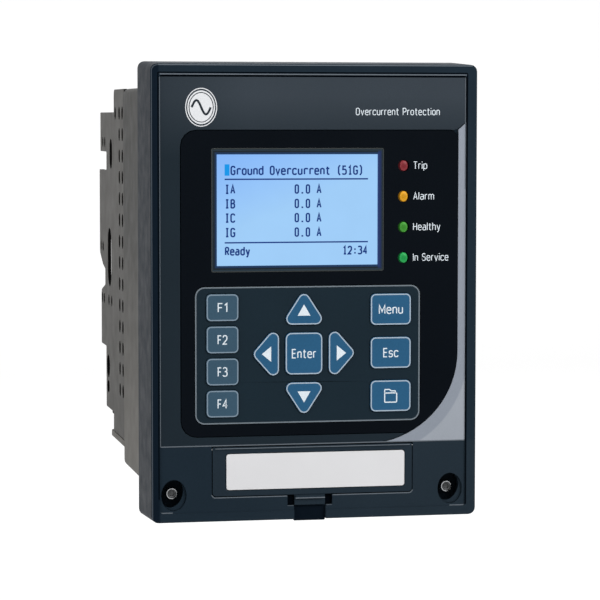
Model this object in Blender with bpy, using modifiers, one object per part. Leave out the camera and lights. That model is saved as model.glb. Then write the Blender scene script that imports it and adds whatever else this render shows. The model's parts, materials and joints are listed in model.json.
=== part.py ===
"""Protection relay for a switchgear panel, as separate parts that can be taken apart.

The relay faces -Y. The origin is the centre of the panel cut-out, in the plane of the
bezel's rear rim, so what shows in front of the panel has negative Y.
"""

import math

import bmesh
import bpy
from mathutils import Matrix, Vector

MM = 0.001

# Clearances and facets
SEAM = 0.3 * MM  # between parts that touch
KEY_CLEARANCE = 0.25 * MM
CUT_MARGIN = 1.0 * MM  # how far a cutter passes a face
ROUND_SIDES = 16
PIN_SIDES = 12
CORNER_STEPS = 4

# Front bezel: its width and height follow from what its front holds, further down
BEZEL_DEPTH = 32.5 * MM
BEZEL_CORNER = 2.7 * MM
BEZEL_EDGE = 0.7 * MM
DRAFT_X = 0.5 * MM  # how much wider each side is at the rear rim
DRAFT_Z = 1.5 * MM
BEZEL_WALL = 2.0 * MM
BEZEL_FRONT_WALL = 5.0 * MM
BORDER_LEFT = 3.4 * MM
BORDER_RIGHT = 3.9 * MM
BORDER_TOP = 4.3 * MM
BORDER_BOTTOM = 3.5 * MM
FRONT = -BEZEL_DEPTH

# Sunk field of the front, with the overlay, window and trim that lie in it
FIELD_CORNER = 1.2 * MM
FIELD_DEPTH = 0.6 * MM
HEADER_HEIGHT = 21.3 * MM
BAND_HEIGHT = 3.9 * MM  # of the overlay below the window
OVERLAY_THICKNESS = 0.9 * MM
WINDOW_DEPTH = 0.5 * MM
WINDOW_THICKNESS = 2.4 * MM
WINDOW_MARGIN_LEFT = 8.4 * MM
WINDOW_CORNER = 6.0 * MM
WINDOW_TOP_RIGHT_CORNER = 3.0 * MM
SWEEP_WIDTH = 36.9 * MM
SWEEP_HEIGHT = 35.3 * MM
SWEEP_OVERSHOOT = 0.2 * MM
SWEEP_STEPS = 16
TRIM_WIDTH = 3.7 * MM
TRIM_RISE = 0.3 * MM
TRIM_SLANT = 2.8 * MM

# Display
DISPLAY_WIDTH = 67.7 * MM
DISPLAY_HEIGHT = 47.4 * MM
DISPLAY_MARGIN_LEFT = 12.0 * MM
DISPLAY_MARGIN_TOP = 7.0 * MM
DISPLAY_GAP = 5.9 * MM  # down to the keypad
DISPLAY_CORNER = 1.0 * MM
DISPLAY_BORDER_X = 2.0 * MM
DISPLAY_BORDER_Z = 2.2 * MM
DISPLAY_FRAME_DEPTH = 0.7 * MM
DISPLAY_FRAME_THICKNESS = 1.2 * MM
DISPLAY_GLASS_THICKNESS = 1.1 * MM
MODULE_MARGIN = 1.0 * MM

# Status lamps, in a column beside the display
LAMP_NAMES = ("lamp_trip", "lamp_alarm", "lamp_healthy", "lamp_in_service")
LAMP_OFFSET = 8.2 * MM
LAMP_MARGIN_RIGHT = 21.7 * MM
LAMP_INSET_TOP = 6.7 * MM
LAMP_INSET_BOTTOM = 4.8 * MM
LAMP_RADIUS = 2.0 * MM
LAMP_PROUD = 0.5 * MM
LAMP_FLANGE = 0.6 * MM

# Keypad: three groups of keys side by side
FUNCTION_KEYS = 4
FUNCTION_KEY = (12.6 * MM, 10.5 * MM, 1.7 * MM)
FUNCTION_KEY_GAP = 1.95 * MM
MENU_KEYS = ("key_menu", "key_escape", "key_file")
MENU_KEY = (16.2 * MM, 12.3 * MM, 1.9 * MM)
MENU_KEY_GAP = 4.7 * MM
MENU_RISE = 0.2 * MM
ENTER_KEY = (14.7 * MM, 16.4 * MM, 2.3 * MM)
ENTER_GAP_X = 2.45 * MM
ENTER_GAP_Z = 3.0 * MM
ENTER_RISE = 0.4 * MM
ARROW_CORNER = 2.4 * MM
ARROW_KEY = (18.4 * MM, 14.1 * MM)  # base and height before its corners are rounded
SIDE_ARROW_KEY = (24.8 * MM, 10.9 * MM)
KEY_MARGIN_LEFT = 4.3 * MM
KEY_MARGIN_RIGHT = 3.7 * MM
KEY_MARGIN_Z = 2.675 * MM
FUNCTION_SPACE = 5.9 * MM  # from the function keys to the arrow keys
MENU_SPACE = 6.6 * MM
KEYPAD_MARGIN_LEFT = 5.4 * MM
KEYPAD_MARGIN_RIGHT = 15.1 * MM
KEYPAD_MARGIN_BOTTOM = 4.8 * MM
KEYPAD_CORNER = 3.7 * MM
KEYPAD_LEDGE = 1.2 * MM
KEYPAD_DEPTH = 0.4 * MM
KEY_PROUD = 0.7 * MM  # cap above the keypad plate
KEY_EDGE = 0.35 * MM
KEY_FLANGE = 0.6 * MM
KEY_FLANGE_THICKNESS = 0.8 * MM
KEY_BACK_GAP = 0.4 * MM
KEY_STEM_RADIUS = 1.8 * MM
KEY_TRAVEL = 0.7 * MM
KEY_PRESS_GAP = 0.2 * MM  # left over a switch with the key pressed

# Label door and latch
DOOR_HEIGHT = 19.2 * MM
DOOR_MARGIN_LEFT = 20.6 * MM
DOOR_MARGIN_RIGHT = 21.7 * MM
DOOR_TOP_LINE = 0.3 * MM  # from the door to the overlay's edge
LATCH_SPACE = 6.2 * MM  # below the door
DOOR_THICKNESS = 3.0 * MM
DOOR_GAP = 0.35 * MM
DOOR_CORNER = 1.3 * MM
DOOR_ROUND = 0.95 * MM  # of its upper front edge, about the hinge
DOOR_PIN_RADIUS = 0.45 * MM
DOOR_PIN_CLEARANCE = 0.1 * MM
DOOR_PIN_LENGTH = 7.0 * MM
DOOR_PIN_IN_DOOR = 4.0 * MM
BAY_DEPTH = 21.5 * MM
BAY_WALL = 2.0 * MM
BAY_LIP = 1.2 * MM  # rebate behind the door's side and lower edges
LABEL_MARGIN_LEFT = 5.4 * MM
LABEL_MARGIN_RIGHT = 3.1 * MM
LABEL_MARGIN_TOP = 2.8 * MM
LABEL_MARGIN_BOTTOM = 2.4 * MM
LABEL_CORNER = 1.0 * MM
LABEL_THICKNESS = 0.5 * MM
LABEL_RECESS = 0.6 * MM
LATCH_OFFSET = -1.2 * MM  # from the door's middle
LATCH_WIDTH = 12.1 * MM
LATCH_LENGTH = 4.2 * MM
LATCH_NOTCH = 2.9 * MM  # open width beside the latch tab
LATCH_THICKNESS = 2.2 * MM
LATCH_RIDGE = 0.8 * MM
CHANNEL_WIDTH = 12.7 * MM
CHANNEL_DEPTH = 1.6 * MM

# Places across the front, from the bezel's left side
FUNCTION_COLUMN = FUNCTION_KEYS * FUNCTION_KEY[1] + (FUNCTION_KEYS - 1) * FUNCTION_KEY_GAP
MENU_COLUMN = len(MENU_KEYS) * MENU_KEY[1] + (len(MENU_KEYS) - 1) * MENU_KEY_GAP
ARROW_TIP, SIDE_ARROW_TIP = (  # what the rounding takes off an arrow key's tip
    ARROW_CORNER * (math.hypot(2 * height / base, 1.0) - 1.0)
    for base, height in (ARROW_KEY, SIDE_ARROW_KEY)
)
CROSS_WIDTH = ENTER_KEY[0] + 2 * (ENTER_GAP_X + SIDE_ARROW_KEY[1] - SIDE_ARROW_TIP)
CROSS_HEIGHT = ENTER_KEY[1] + 2 * (ENTER_GAP_Z + ARROW_KEY[1] - ARROW_TIP)
KEY_ROW_WIDTH = FUNCTION_KEY[0] + FUNCTION_SPACE + CROSS_WIDTH + MENU_SPACE + MENU_KEY[0]
KEYPAD_WIDTH = KEY_MARGIN_LEFT + KEY_ROW_WIDTH + KEY_MARGIN_RIGHT
KEYPAD_HEIGHT = max(FUNCTION_COLUMN, MENU_COLUMN, CROSS_HEIGHT) + 2 * KEY_MARGIN_Z
WINDOW_WIDTH = max(
    KEYPAD_MARGIN_LEFT + KEYPAD_WIDTH + KEYPAD_MARGIN_RIGHT,
    DISPLAY_MARGIN_LEFT + DISPLAY_WIDTH + LAMP_OFFSET + LAMP_MARGIN_RIGHT,
)
BEZEL_WIDTH = BORDER_LEFT + WINDOW_MARGIN_LEFT + WINDOW_WIDTH + TRIM_WIDTH + BORDER_RIGHT
FIELD_LEFT = -BEZEL_WIDTH / 2 + BORDER_LEFT
FIELD_RIGHT = BEZEL_WIDTH / 2 - BORDER_RIGHT
WINDOW_LEFT = FIELD_LEFT + WINDOW_MARGIN_LEFT
WINDOW_RIGHT = FIELD_RIGHT - TRIM_WIDTH
KEYPAD_LEFT = WINDOW_LEFT + KEYPAD_MARGIN_LEFT
KEYPAD_RIGHT = KEYPAD_LEFT + KEYPAD_WIDTH
DISPLAY_LEFT = WINDOW_LEFT + DISPLAY_MARGIN_LEFT
DISPLAY_RIGHT = DISPLAY_LEFT + DISPLAY_WIDTH
LAMP_X = DISPLAY_RIGHT + LAMP_OFFSET
FUNCTION_KEY_X = KEYPAD_LEFT + KEY_MARGIN_LEFT + FUNCTION_KEY[0] / 2
MENU_KEY_X = KEYPAD_RIGHT - KEY_MARGIN_RIGHT - MENU_KEY[0] / 2
ENTER_X = FUNCTION_KEY_X + FUNCTION_KEY[0] / 2 + FUNCTION_SPACE + CROSS_WIDTH / 2
DOOR_LEFT = FIELD_LEFT + DOOR_MARGIN_LEFT
DOOR_RIGHT = FIELD_RIGHT - DOOR_MARGIN_RIGHT
DOOR_MIDDLE_X = (DOOR_LEFT + DOOR_RIGHT) / 2
LABEL_LEFT = DOOR_LEFT + LABEL_MARGIN_LEFT
LABEL_RIGHT = DOOR_RIGHT - LABEL_MARGIN_RIGHT
LATCH_CENTRE_X = DOOR_MIDDLE_X + LATCH_OFFSET

# Places up the front, from the bezel's lower edge
DOOR_SPACE = BORDER_BOTTOM + LATCH_SPACE + DOOR_HEIGHT + DOOR_TOP_LINE
KEYPAD_SPACE = BAND_HEIGHT + KEYPAD_MARGIN_BOTTOM + KEYPAD_HEIGHT
DISPLAY_SPACE = DISPLAY_GAP + DISPLAY_HEIGHT + DISPLAY_MARGIN_TOP
BEZEL_HEIGHT = DOOR_SPACE + KEYPAD_SPACE + DISPLAY_SPACE + HEADER_HEIGHT + BORDER_TOP
FIELD_BOTTOM = -BEZEL_HEIGHT / 2 + BORDER_BOTTOM
FIELD_TOP = BEZEL_HEIGHT / 2 - BORDER_TOP
FIELD_SPLIT = -BEZEL_HEIGHT / 2 + DOOR_SPACE  # between the overlay and the door bay
DOOR_BOTTOM = FIELD_BOTTOM + LATCH_SPACE
DOOR_TOP = DOOR_BOTTOM + DOOR_HEIGHT
LABEL_BOTTOM = DOOR_BOTTOM + LABEL_MARGIN_BOTTOM
LABEL_TOP = DOOR_TOP - LABEL_MARGIN_TOP
LATCH_BOTTOM = DOOR_BOTTOM - LATCH_LENGTH
WINDOW_BOTTOM = FIELD_SPLIT + BAND_HEIGHT
WINDOW_TOP = FIELD_TOP - HEADER_HEIGHT
KEYPAD_BOTTOM = WINDOW_BOTTOM + KEYPAD_MARGIN_BOTTOM
KEYPAD_TOP = KEYPAD_BOTTOM + KEYPAD_HEIGHT
KEYPAD_MIDDLE_Z = (KEYPAD_BOTTOM + KEYPAD_TOP) / 2
DISPLAY_BOTTOM = KEYPAD_TOP + DISPLAY_GAP
DISPLAY_TOP = DISPLAY_BOTTOM + DISPLAY_HEIGHT
ENTER_CENTRE = (ENTER_X, KEYPAD_MIDDLE_Z + ENTER_RISE)
SWEEP_CENTRE = (WINDOW_RIGHT - SWEEP_WIDTH, FIELD_SPLIT + SWEEP_HEIGHT)
SWEEP_DROP = SWEEP_HEIGHT + SWEEP_OVERSHOOT
TRIM_TOP = WINDOW_TOP + TRIM_RISE

# Front board
BOARD_DEPTH = 10.0 * MM
BOARD_THICKNESS = 1.6 * MM
BOARD_MARGIN = 6.0 * MM  # inside the bezel's walls
BOARD_OVERLAP_TOP = -1.9 * MM  # past the window's upper edge
BOARD_OVERLAP_BOTTOM = -2.9 * MM
BOARD_CORNER = 2.0 * MM
BOARD_BOSS_RADIUS = 3.0 * MM
BOARD_BOSS_INSET = 3.5 * MM
SWITCH_RADIUS = 2.6 * MM
SWITCH_HEIGHT = 2.4 * MM
BOARD_SOCKET = (8.0 * MM, 40.0 * MM)
BOARD_SOCKET_DEPTH = 18.0 * MM
BOARD_HALF_WIDTH = BEZEL_WIDTH / 2 - BEZEL_WALL - BOARD_MARGIN - DRAFT_X
BOARD_TOP = WINDOW_TOP + BOARD_OVERLAP_TOP
BOARD_BOTTOM = WINDOW_BOTTOM - BOARD_OVERLAP_BOTTOM

# Service port behind the door
PORT_OFFSET = (-7.2 * MM, -0.2 * MM)  # from the door's middle
PORT_FLANGE_MARGIN = (6.9 * MM, 2.05 * MM)  # of the flange round the shell
PORT_FLANGE = 1.2 * MM
PORT_FLANGE_CORNER = 1.0 * MM
PORT_SHELL = (17.0 * MM, 8.4 * MM)
PORT_SHELL_CORNER = 1.5 * MM
PORT_SHELL_SLOPE = math.radians(10)
PORT_SHELL_LENGTH = 6.0 * MM
PORT_PIN_PITCH = 2.77 * MM
PORT_PIN_ROW = 2.84 * MM
PORT_PIN_RADIUS = 0.55 * MM
PORT_CENTRE = (DOOR_MIDDLE_X + PORT_OFFSET[0], (DOOR_TOP + DOOR_BOTTOM) / 2 + PORT_OFFSET[1])

# Front fixing screws
SCREW_INSET_LEFT = 5.4 * MM
SCREW_INSET_RIGHT = 6.3 * MM
SCREW_HEIGHT_LEFT = 7.0 * MM
SCREW_HEIGHT_RIGHT = 7.0 * MM
SCREW_HEAD_RADIUS = 2.2 * MM
SCREW_HEAD_HEIGHT = 5.6 * MM
SCREW_HEAD_EDGE = 0.4 * MM
SCREW_SHANK_RADIUS = 1.4 * MM
SCREW_SOCKET_RADIUS = 1.25 * MM
SCREW_SOCKET_DEPTH = 1.3 * MM
SCREW_HOLE_CLEARANCE = 0.25 * MM
POCKET_RADIUS = 6.1 * MM
POCKET_WIDTH = 0.82  # of an oval pocket, as a share of its height
POCKET_DEPTH = 12.0 * MM
BOSS_WALL = 1.8 * MM
SCREW_CENTRES = {
    "front_screw_left": (FIELD_LEFT + SCREW_INSET_LEFT, FIELD_BOTTOM + SCREW_HEIGHT_LEFT),
    "front_screw_right": (
        FIELD_RIGHT - SCREW_INSET_RIGHT,
        FIELD_BOTTOM + SCREW_HEIGHT_RIGHT,
    ),
}

# Case collar
CASE_INSET = 2.0 * MM  # inside the bezel's front
COLLAR_INSET_TOP = 8.7 * MM
COLLAR_INSET_BOTTOM = 10.2 * MM
COLLAR_REAR = 62.5 * MM
COLLAR_WALL = 2.0 * MM
COLLAR_CORNER = 2.5 * MM
COLLAR_EDGE = 0.4 * MM
COLLAR_BAY_GAP = 1.0 * MM  # from the door bay's rear wall to the collar's front ring
COLLAR_RING_THICKNESS = 2.5 * MM
COLLAR_RING_REACH = 5.5 * MM  # of the ring past the collar's top and bottom
COLLAR_RING_SIDE = 7.0 * MM
COLLAR_RING_CORNER = 2.0 * MM
COLLAR_WEB = 3.1 * MM  # of the ring above the front screws
COLLAR_TONGUE = 3.0 * MM
TOP_SCREW_INSET = 17.5 * MM
TOP_SCREW_RISE = 2.8 * MM  # above the collar's top
TOP_SCREW_LENGTH = 9.0 * MM
TOP_SCREW_HEAD = 1.8 * MM
COLLAR_RING_DEPTH = BEZEL_DEPTH - BAY_DEPTH - BAY_WALL - COLLAR_BAY_GAP
CASE_WIDTH = BEZEL_WIDTH - 2 * CASE_INSET
COLLAR_TOP = BEZEL_HEIGHT / 2 - COLLAR_INSET_TOP
COLLAR_BOTTOM = -BEZEL_HEIGHT / 2 + COLLAR_INSET_BOTTOM
COLLAR_RING_BOTTOM = FIELD_BOTTOM + max(SCREW_HEIGHT_LEFT, SCREW_HEIGHT_RIGHT) + COLLAR_WEB
TOP_SCREW_X = CASE_WIDTH / 2 - TOP_SCREW_INSET

# Side cheeks, top and bottom
CHEEK_THICKNESS = 1.5 * MM
CHEEK_INSET = 0.3 * MM  # from the collar's side
CHEEK_CORNER = 2.5 * MM
CHEEK_FILLET = 0.8 * MM
STEP_LENGTH = 32.9 * MM  # from the collar to the step in the top
REAR_LENGTH = 23.1 * MM  # from the step to the rear panel
REAR_DROP = 9.7 * MM  # of the top at the step
BASE_RISE = 10.3 * MM  # of the base plate's upper face above the collar's bottom
TOP_CLEARANCE = 0.3 * MM
SHEET = 1.2 * MM
FLANGE_HEIGHT = 5.0 * MM
BASE_THICKNESS = 2.5 * MM
HEEL_LENGTH = 3.7 * MM  # of the cheek's lower part past the step
BASE_REACH = 7.3 * MM  # of the base plate past the cheek's heel
FOOT_RISE = 8.3 * MM
CASE_STEP_Y = COLLAR_REAR + STEP_LENGTH
REAR_Y = CASE_STEP_Y + REAR_LENGTH
CASE_REAR_TOP = COLLAR_TOP - REAR_DROP
CASE_BOTTOM = COLLAR_BOTTOM + BASE_RISE
HEEL_Y = CASE_STEP_Y + HEEL_LENGTH
BASE_REAR = HEEL_Y + BASE_REACH
FOOT_Z = CASE_BOTTOM + FOOT_RISE

# The cheek's rear edge: lengths past the rear panel, then heights
EDGE_UPPER = 23.9 * MM
NOTCH = 2.9 * MM
EDGE_MIDDLE = 27.5 * MM
SHOULDER = 17.0 * MM
WAIST = 8.6 * MM
EDGE_LOWER = 22.4 * MM
EDGE_FOOT = 5.8 * MM
NOTCH_DROP = 17.2 * MM  # below the top
NOTCH_HEIGHT = 8.2 * MM
EDGE_MIDDLE_Z = 7.6 * MM
SHOULDER_Z = 2.8 * MM
WAIST_TOP_Z = 1.0 * MM
WAIST_BOTTOM_Z = -6.0 * MM
EDGE_LOWER_TOP_Z = -9.0 * MM
EDGE_LOWER_BOTTOM_Z = -33.0 * MM

# Openings of the cheeks: vents in columns behind the collar, then slots near the rear panel
VENT_ROWS = 14
VENT_MARGIN_TOP = 10.1 * MM
VENT_MARGIN_BOTTOM = 20.2 * MM
VENT_COLUMNS = (5.4 * MM, 15.2 * MM)
VENT_EXTRA = 28.2 * MM
VENT_SIZE = (4.4 * MM, 5.4 * MM)
VENT_CORNER = 1.3 * MM
VENT_TOP_Z = COLLAR_TOP - VENT_MARGIN_TOP
VENT_PITCH = (VENT_TOP_Z - CASE_BOTTOM - VENT_MARGIN_BOTTOM) / (VENT_ROWS - 1)
CHEEK_SLOTS = (  # length past the rear panel, height, and size
    (-12.5 * MM, CASE_REAR_TOP - 18.0 * MM, 8.3 * MM, 13.1 * MM),
    (-6.9 * MM, 7.0 * MM, 12.4 * MM, 25.9 * MM),
    (-1.5 * MM, CASE_BOTTOM + 26.7 * MM, 10.4 * MM, 10.2 * MM),
    (-1.0 * MM, CASE_BOTTOM + 17.6 * MM, 7.6 * MM, 5.4 * MM),
)
SMALL_SLOT_SIZE = (3.8 * MM, 4.6 * MM)
SMALL_SLOTS = (
    (8.5 * MM, CASE_REAR_TOP - 13.1 * MM),
    (15.5 * MM, CASE_REAR_TOP - 13.1 * MM),
    (16.0 * MM, 10.6 * MM),
    (23.0 * MM, 10.6 * MM),
    (12.5 * MM, -12.3 * MM),
    (19.1 * MM, -12.3 * MM),
    (-13.5 * MM, -12.0 * MM),
    (-3.8 * MM, -12.0 * MM),
)
SLOT_STEPS = 3

# Rear panel and what it carries
REAR_THICKNESS = 1.5 * MM
TERMINAL_WIDTH = 25.0 * MM
TERMINAL_INSET = 10.0 * MM  # inside the case's side
TERMINAL_MARGIN_TOP = 12.1 * MM
TERMINAL_MARGIN_BOTTOM = 7.3 * MM
TERMINAL_COUNT = 12
TERMINAL_BASE = 9.0 * MM  # how far its base stands behind the rear panel
TERMINAL_STEP = 6.0 * MM  # how far its screw deck stands behind the base
TERMINAL_DECK = 13.0 * MM
TERMINAL_RIB = 1.2 * MM
TERMINAL_FOOT = 3.0 * MM  # how far it reaches in front of the rear panel
TERMINAL_FOOT_INSET = 2.0 * MM
TERMINAL_SCREW_RADIUS = 2.6 * MM
TERMINAL_SCREW_PROUD = 0.8 * MM
WIRE_HOLE_RADIUS = 1.7 * MM
WIRE_HOLE_DEPTH = 6.0 * MM
COMM_BLOCK = (22.0 * MM, 10.0 * MM)
COMM_DROP = 24.1 * MM
COMM_INSET = 1.0 * MM
COMM_LENGTH = 9.0 * MM
COMM_POLES = 4
COMM_HOLE_RADIUS = 1.4 * MM
COMM_HOLE_DEPTH = 3.0 * MM
EARTH_RISE = 11.7 * MM
EARTH_RADIUS = 2.4 * MM
EARTH_LENGTH = 16.0 * MM
EARTH_HEAD_RADIUS = 5.0 * MM
EARTH_HEAD_HEIGHT = 2.0 * MM
EARTH_WASHER = 1.0 * MM
EARTH_NUT_RADIUS = 4.6 * MM
EARTH_NUT_HEIGHT = 3.6 * MM
TERMINAL_TOP = CASE_REAR_TOP - TERMINAL_MARGIN_TOP
TERMINAL_PITCH = (TERMINAL_TOP - FOOT_Z - TERMINAL_MARGIN_BOTTOM) / TERMINAL_COUNT
TERMINAL_X = {
    "terminal_block_a": -CASE_WIDTH / 2 + TERMINAL_INSET + TERMINAL_WIDTH / 2,
    "terminal_block_b": CASE_WIDTH / 2 - TERMINAL_INSET - TERMINAL_WIDTH / 2,
}
COMM_CENTRE = (0.0, CASE_REAR_TOP - COMM_DROP)
EARTH_CENTRE = (0.0, FOOT_Z + EARTH_RISE)

# Boards and transformers inside the case
BACKPLANE_THICKNESS = 1.6 * MM
CARD_THICKNESS = 1.6 * MM
CARD_FRONT = 6.0 * MM
CARD_DROP = 4.1 * MM
MAIN_CARD_INSET = 46.5 * MM
INPUT_CARD_INSET = 48.5 * MM
SUPPLY_CARD_INSET = 24.5 * MM
CARD_X = {
    "main_board": -CASE_WIDTH / 2 + MAIN_CARD_INSET,
    "input_output_board": CASE_WIDTH / 2 - INPUT_CARD_INSET,
    "power_supply_board": CASE_WIDTH / 2 - SUPPLY_CARD_INSET,
}
CARD_COMPONENTS = {  # each component's near and far end, lower and upper side, and height
    "main_board": (
        (40 * MM, 70 * MM, 10 * MM, 40 * MM, 3 * MM),
        (38 * MM, 62 * MM, -40 * MM, -16 * MM, 2.4 * MM),
        (84 * MM, 100 * MM, 0, 40 * MM, 5 * MM),
    ),
    "input_output_board": (
        (20 * MM, 36 * MM, -50 * MM, 50 * MM, 11 * MM),
        (60 * MM, 74 * MM, -50 * MM, 50 * MM, 11 * MM),
    ),
    "power_supply_board": (
        (20 * MM, 60 * MM, -50 * MM, -10 * MM, 14 * MM),
        (70 * MM, 100 * MM, 10 * MM, 50 * MM, 16 * MM),
    ),
}
TRANSFORMER_COUNT = 4
TRANSFORMER_SIZE = (26.0 * MM, 24.0 * MM, 27.0 * MM)
TRANSFORMER_INSET = 5.5 * MM  # inside the case's side
TRANSFORMER_LIFT = 2.5 * MM  # above the base plate
TRANSFORMER_GAP = 4.0 * MM
TRANSFORMER_AHEAD = 1.4 * MM  # from the step in the top
TRANSFORMER_COIL = 20.0 * MM

COLOURS = {
    "bezel": ((0.020, 0.028, 0.036), 0.5, 0.0),
    "overlay": ((0.030, 0.044, 0.058), 0.45, 0.0),
    "window": ((0.006, 0.009, 0.012), 0.15, 0.0),
    "trim": ((0.33, 0.36, 0.41), 0.4, 0.6),
    "display_frame": ((0.02, 0.03, 0.12), 0.3, 0.0),
    "display": ((0.38, 0.62, 0.93), 0.2, 0.0),
    "keypad": ((0.014, 0.024, 0.034), 0.5, 0.0),
    "function_key": ((0.045, 0.09, 0.13), 0.5, 0.0),
    "key": ((0.03, 0.11, 0.22), 0.5, 0.0),
    "lamp_trip": ((0.22, 0.02, 0.03), 0.2, 0.0),
    "lamp_alarm": ((0.65, 0.31, 0.01), 0.2, 0.0),
    "lamp_healthy": ((0.04, 0.26, 0.02), 0.2, 0.0),
    "lamp_in_service": ((0.01, 0.31, 0.06), 0.2, 0.0),
    "label": ((0.72, 0.72, 0.74), 0.6, 0.0),
    "steel": ((0.5, 0.5, 0.5), 0.3, 1.0),
    "case": ((0.12, 0.12, 0.115), 0.5, 0.2),
    "terminal": ((0.015, 0.015, 0.016), 0.5, 0.0),
    "board": ((0.02, 0.10, 0.04), 0.5, 0.0),
    "brass": ((0.6, 0.42, 0.15), 0.35, 1.0),
    "core": ((0.06, 0.06, 0.07), 0.5, 0.4),
}


# Scene, materials and shared shapes


def clear_scene():
    for obj in list(bpy.data.objects):
        bpy.data.objects.remove(obj, do_unlink=True)


def collection_named(name):
    made = bpy.data.collections.new(name)
    bpy.context.scene.collection.children.link(made)
    return made


def principled(name):
    colour, roughness, metallic = COLOURS[name]
    made = bpy.data.materials.new(name)
    made.use_nodes = True
    shader = made.node_tree.nodes["Principled BSDF"]
    shader.inputs["Base Color"].default_value = (*colour, 1.0)
    shader.inputs["Roughness"].default_value = roughness
    shader.inputs["Metallic"].default_value = metallic
    made.diffuse_color = (*colour, 1.0)
    return made


def rounded(points, radius, steps=CORNER_STEPS):
    """The closed outline through these points, each corner rounded. radius is one value or one per point."""
    count = len(points)
    radii = list(radius) if isinstance(radius, (list, tuple)) else [radius] * count
    outline = []
    for i, point in enumerate(points):
        corner = Vector(point)
        before = (Vector(points[i - 1]) - corner).normalized()
        after = (Vector(points[(i + 1) % count]) - corner).normalized()
        if radii[i] <= 0:
            outline.append(corner)
            continue
        half = before.angle(after) / 2
        centre = corner + (before + after).normalized() * (radii[i] / math.sin(half))
        start = corner + before * (radii[i] / math.tan(half)) - centre
        sweep = start.angle_signed(corner + after * (radii[i] / math.tan(half)) - centre)
        for step in range(steps + 1):
            outline.append(centre + Matrix.Rotation(-sweep * step / steps, 2) @ start)
    kept = [p for i, p in enumerate(outline) if (p - outline[i - 1]).length > 0.01 * MM]
    return [(p.x, p.y) for p in kept]


def rectangle(left, right, bottom, top, radius=0.0, grow=0.0, steps=CORNER_STEPS):
    corners = [
        (left - grow, bottom - grow),
        (right + grow, bottom - grow),
        (right + grow, top + grow),
        (left - grow, top + grow),
    ]
    return rounded(corners, radius + grow if radius else 0.0, steps)


def centred(centre, width, height, radius=0.0, grow=0.0, steps=CORNER_STEPS):
    x, z = centre
    return rectangle(
        x - width / 2, x + width / 2, z - height / 2, z + height / 2, radius, grow, steps
    )


def circle(centre, radius, sides=ROUND_SIDES):
    turns = [2 * math.pi * i / sides for i in range(sides)]
    return [(centre[0] + radius * math.cos(t), centre[1] + radius * math.sin(t)) for t in turns]


def triangle(base, height, radius, turn, grow=0.0):
    """An isosceles key outline about its own middle, pointing up before it is turned."""
    slope = math.atan2(height, base / 2)
    side = grow / math.tan(slope / 2)
    peak = grow / math.cos(slope)
    points = [
        (-base / 2 - side, -height / 2 - grow),
        (base / 2 + side, -height / 2 - grow),
        (0.0, height / 2 + peak),
    ]
    turned_points = [Matrix.Rotation(turn, 2) @ Vector(p) for p in points]
    return rounded([tuple(p) for p in turned_points], radius + grow)


def shifted(outline, centre):
    return [(u + centre[0], v + centre[1]) for u, v in outline]


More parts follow.
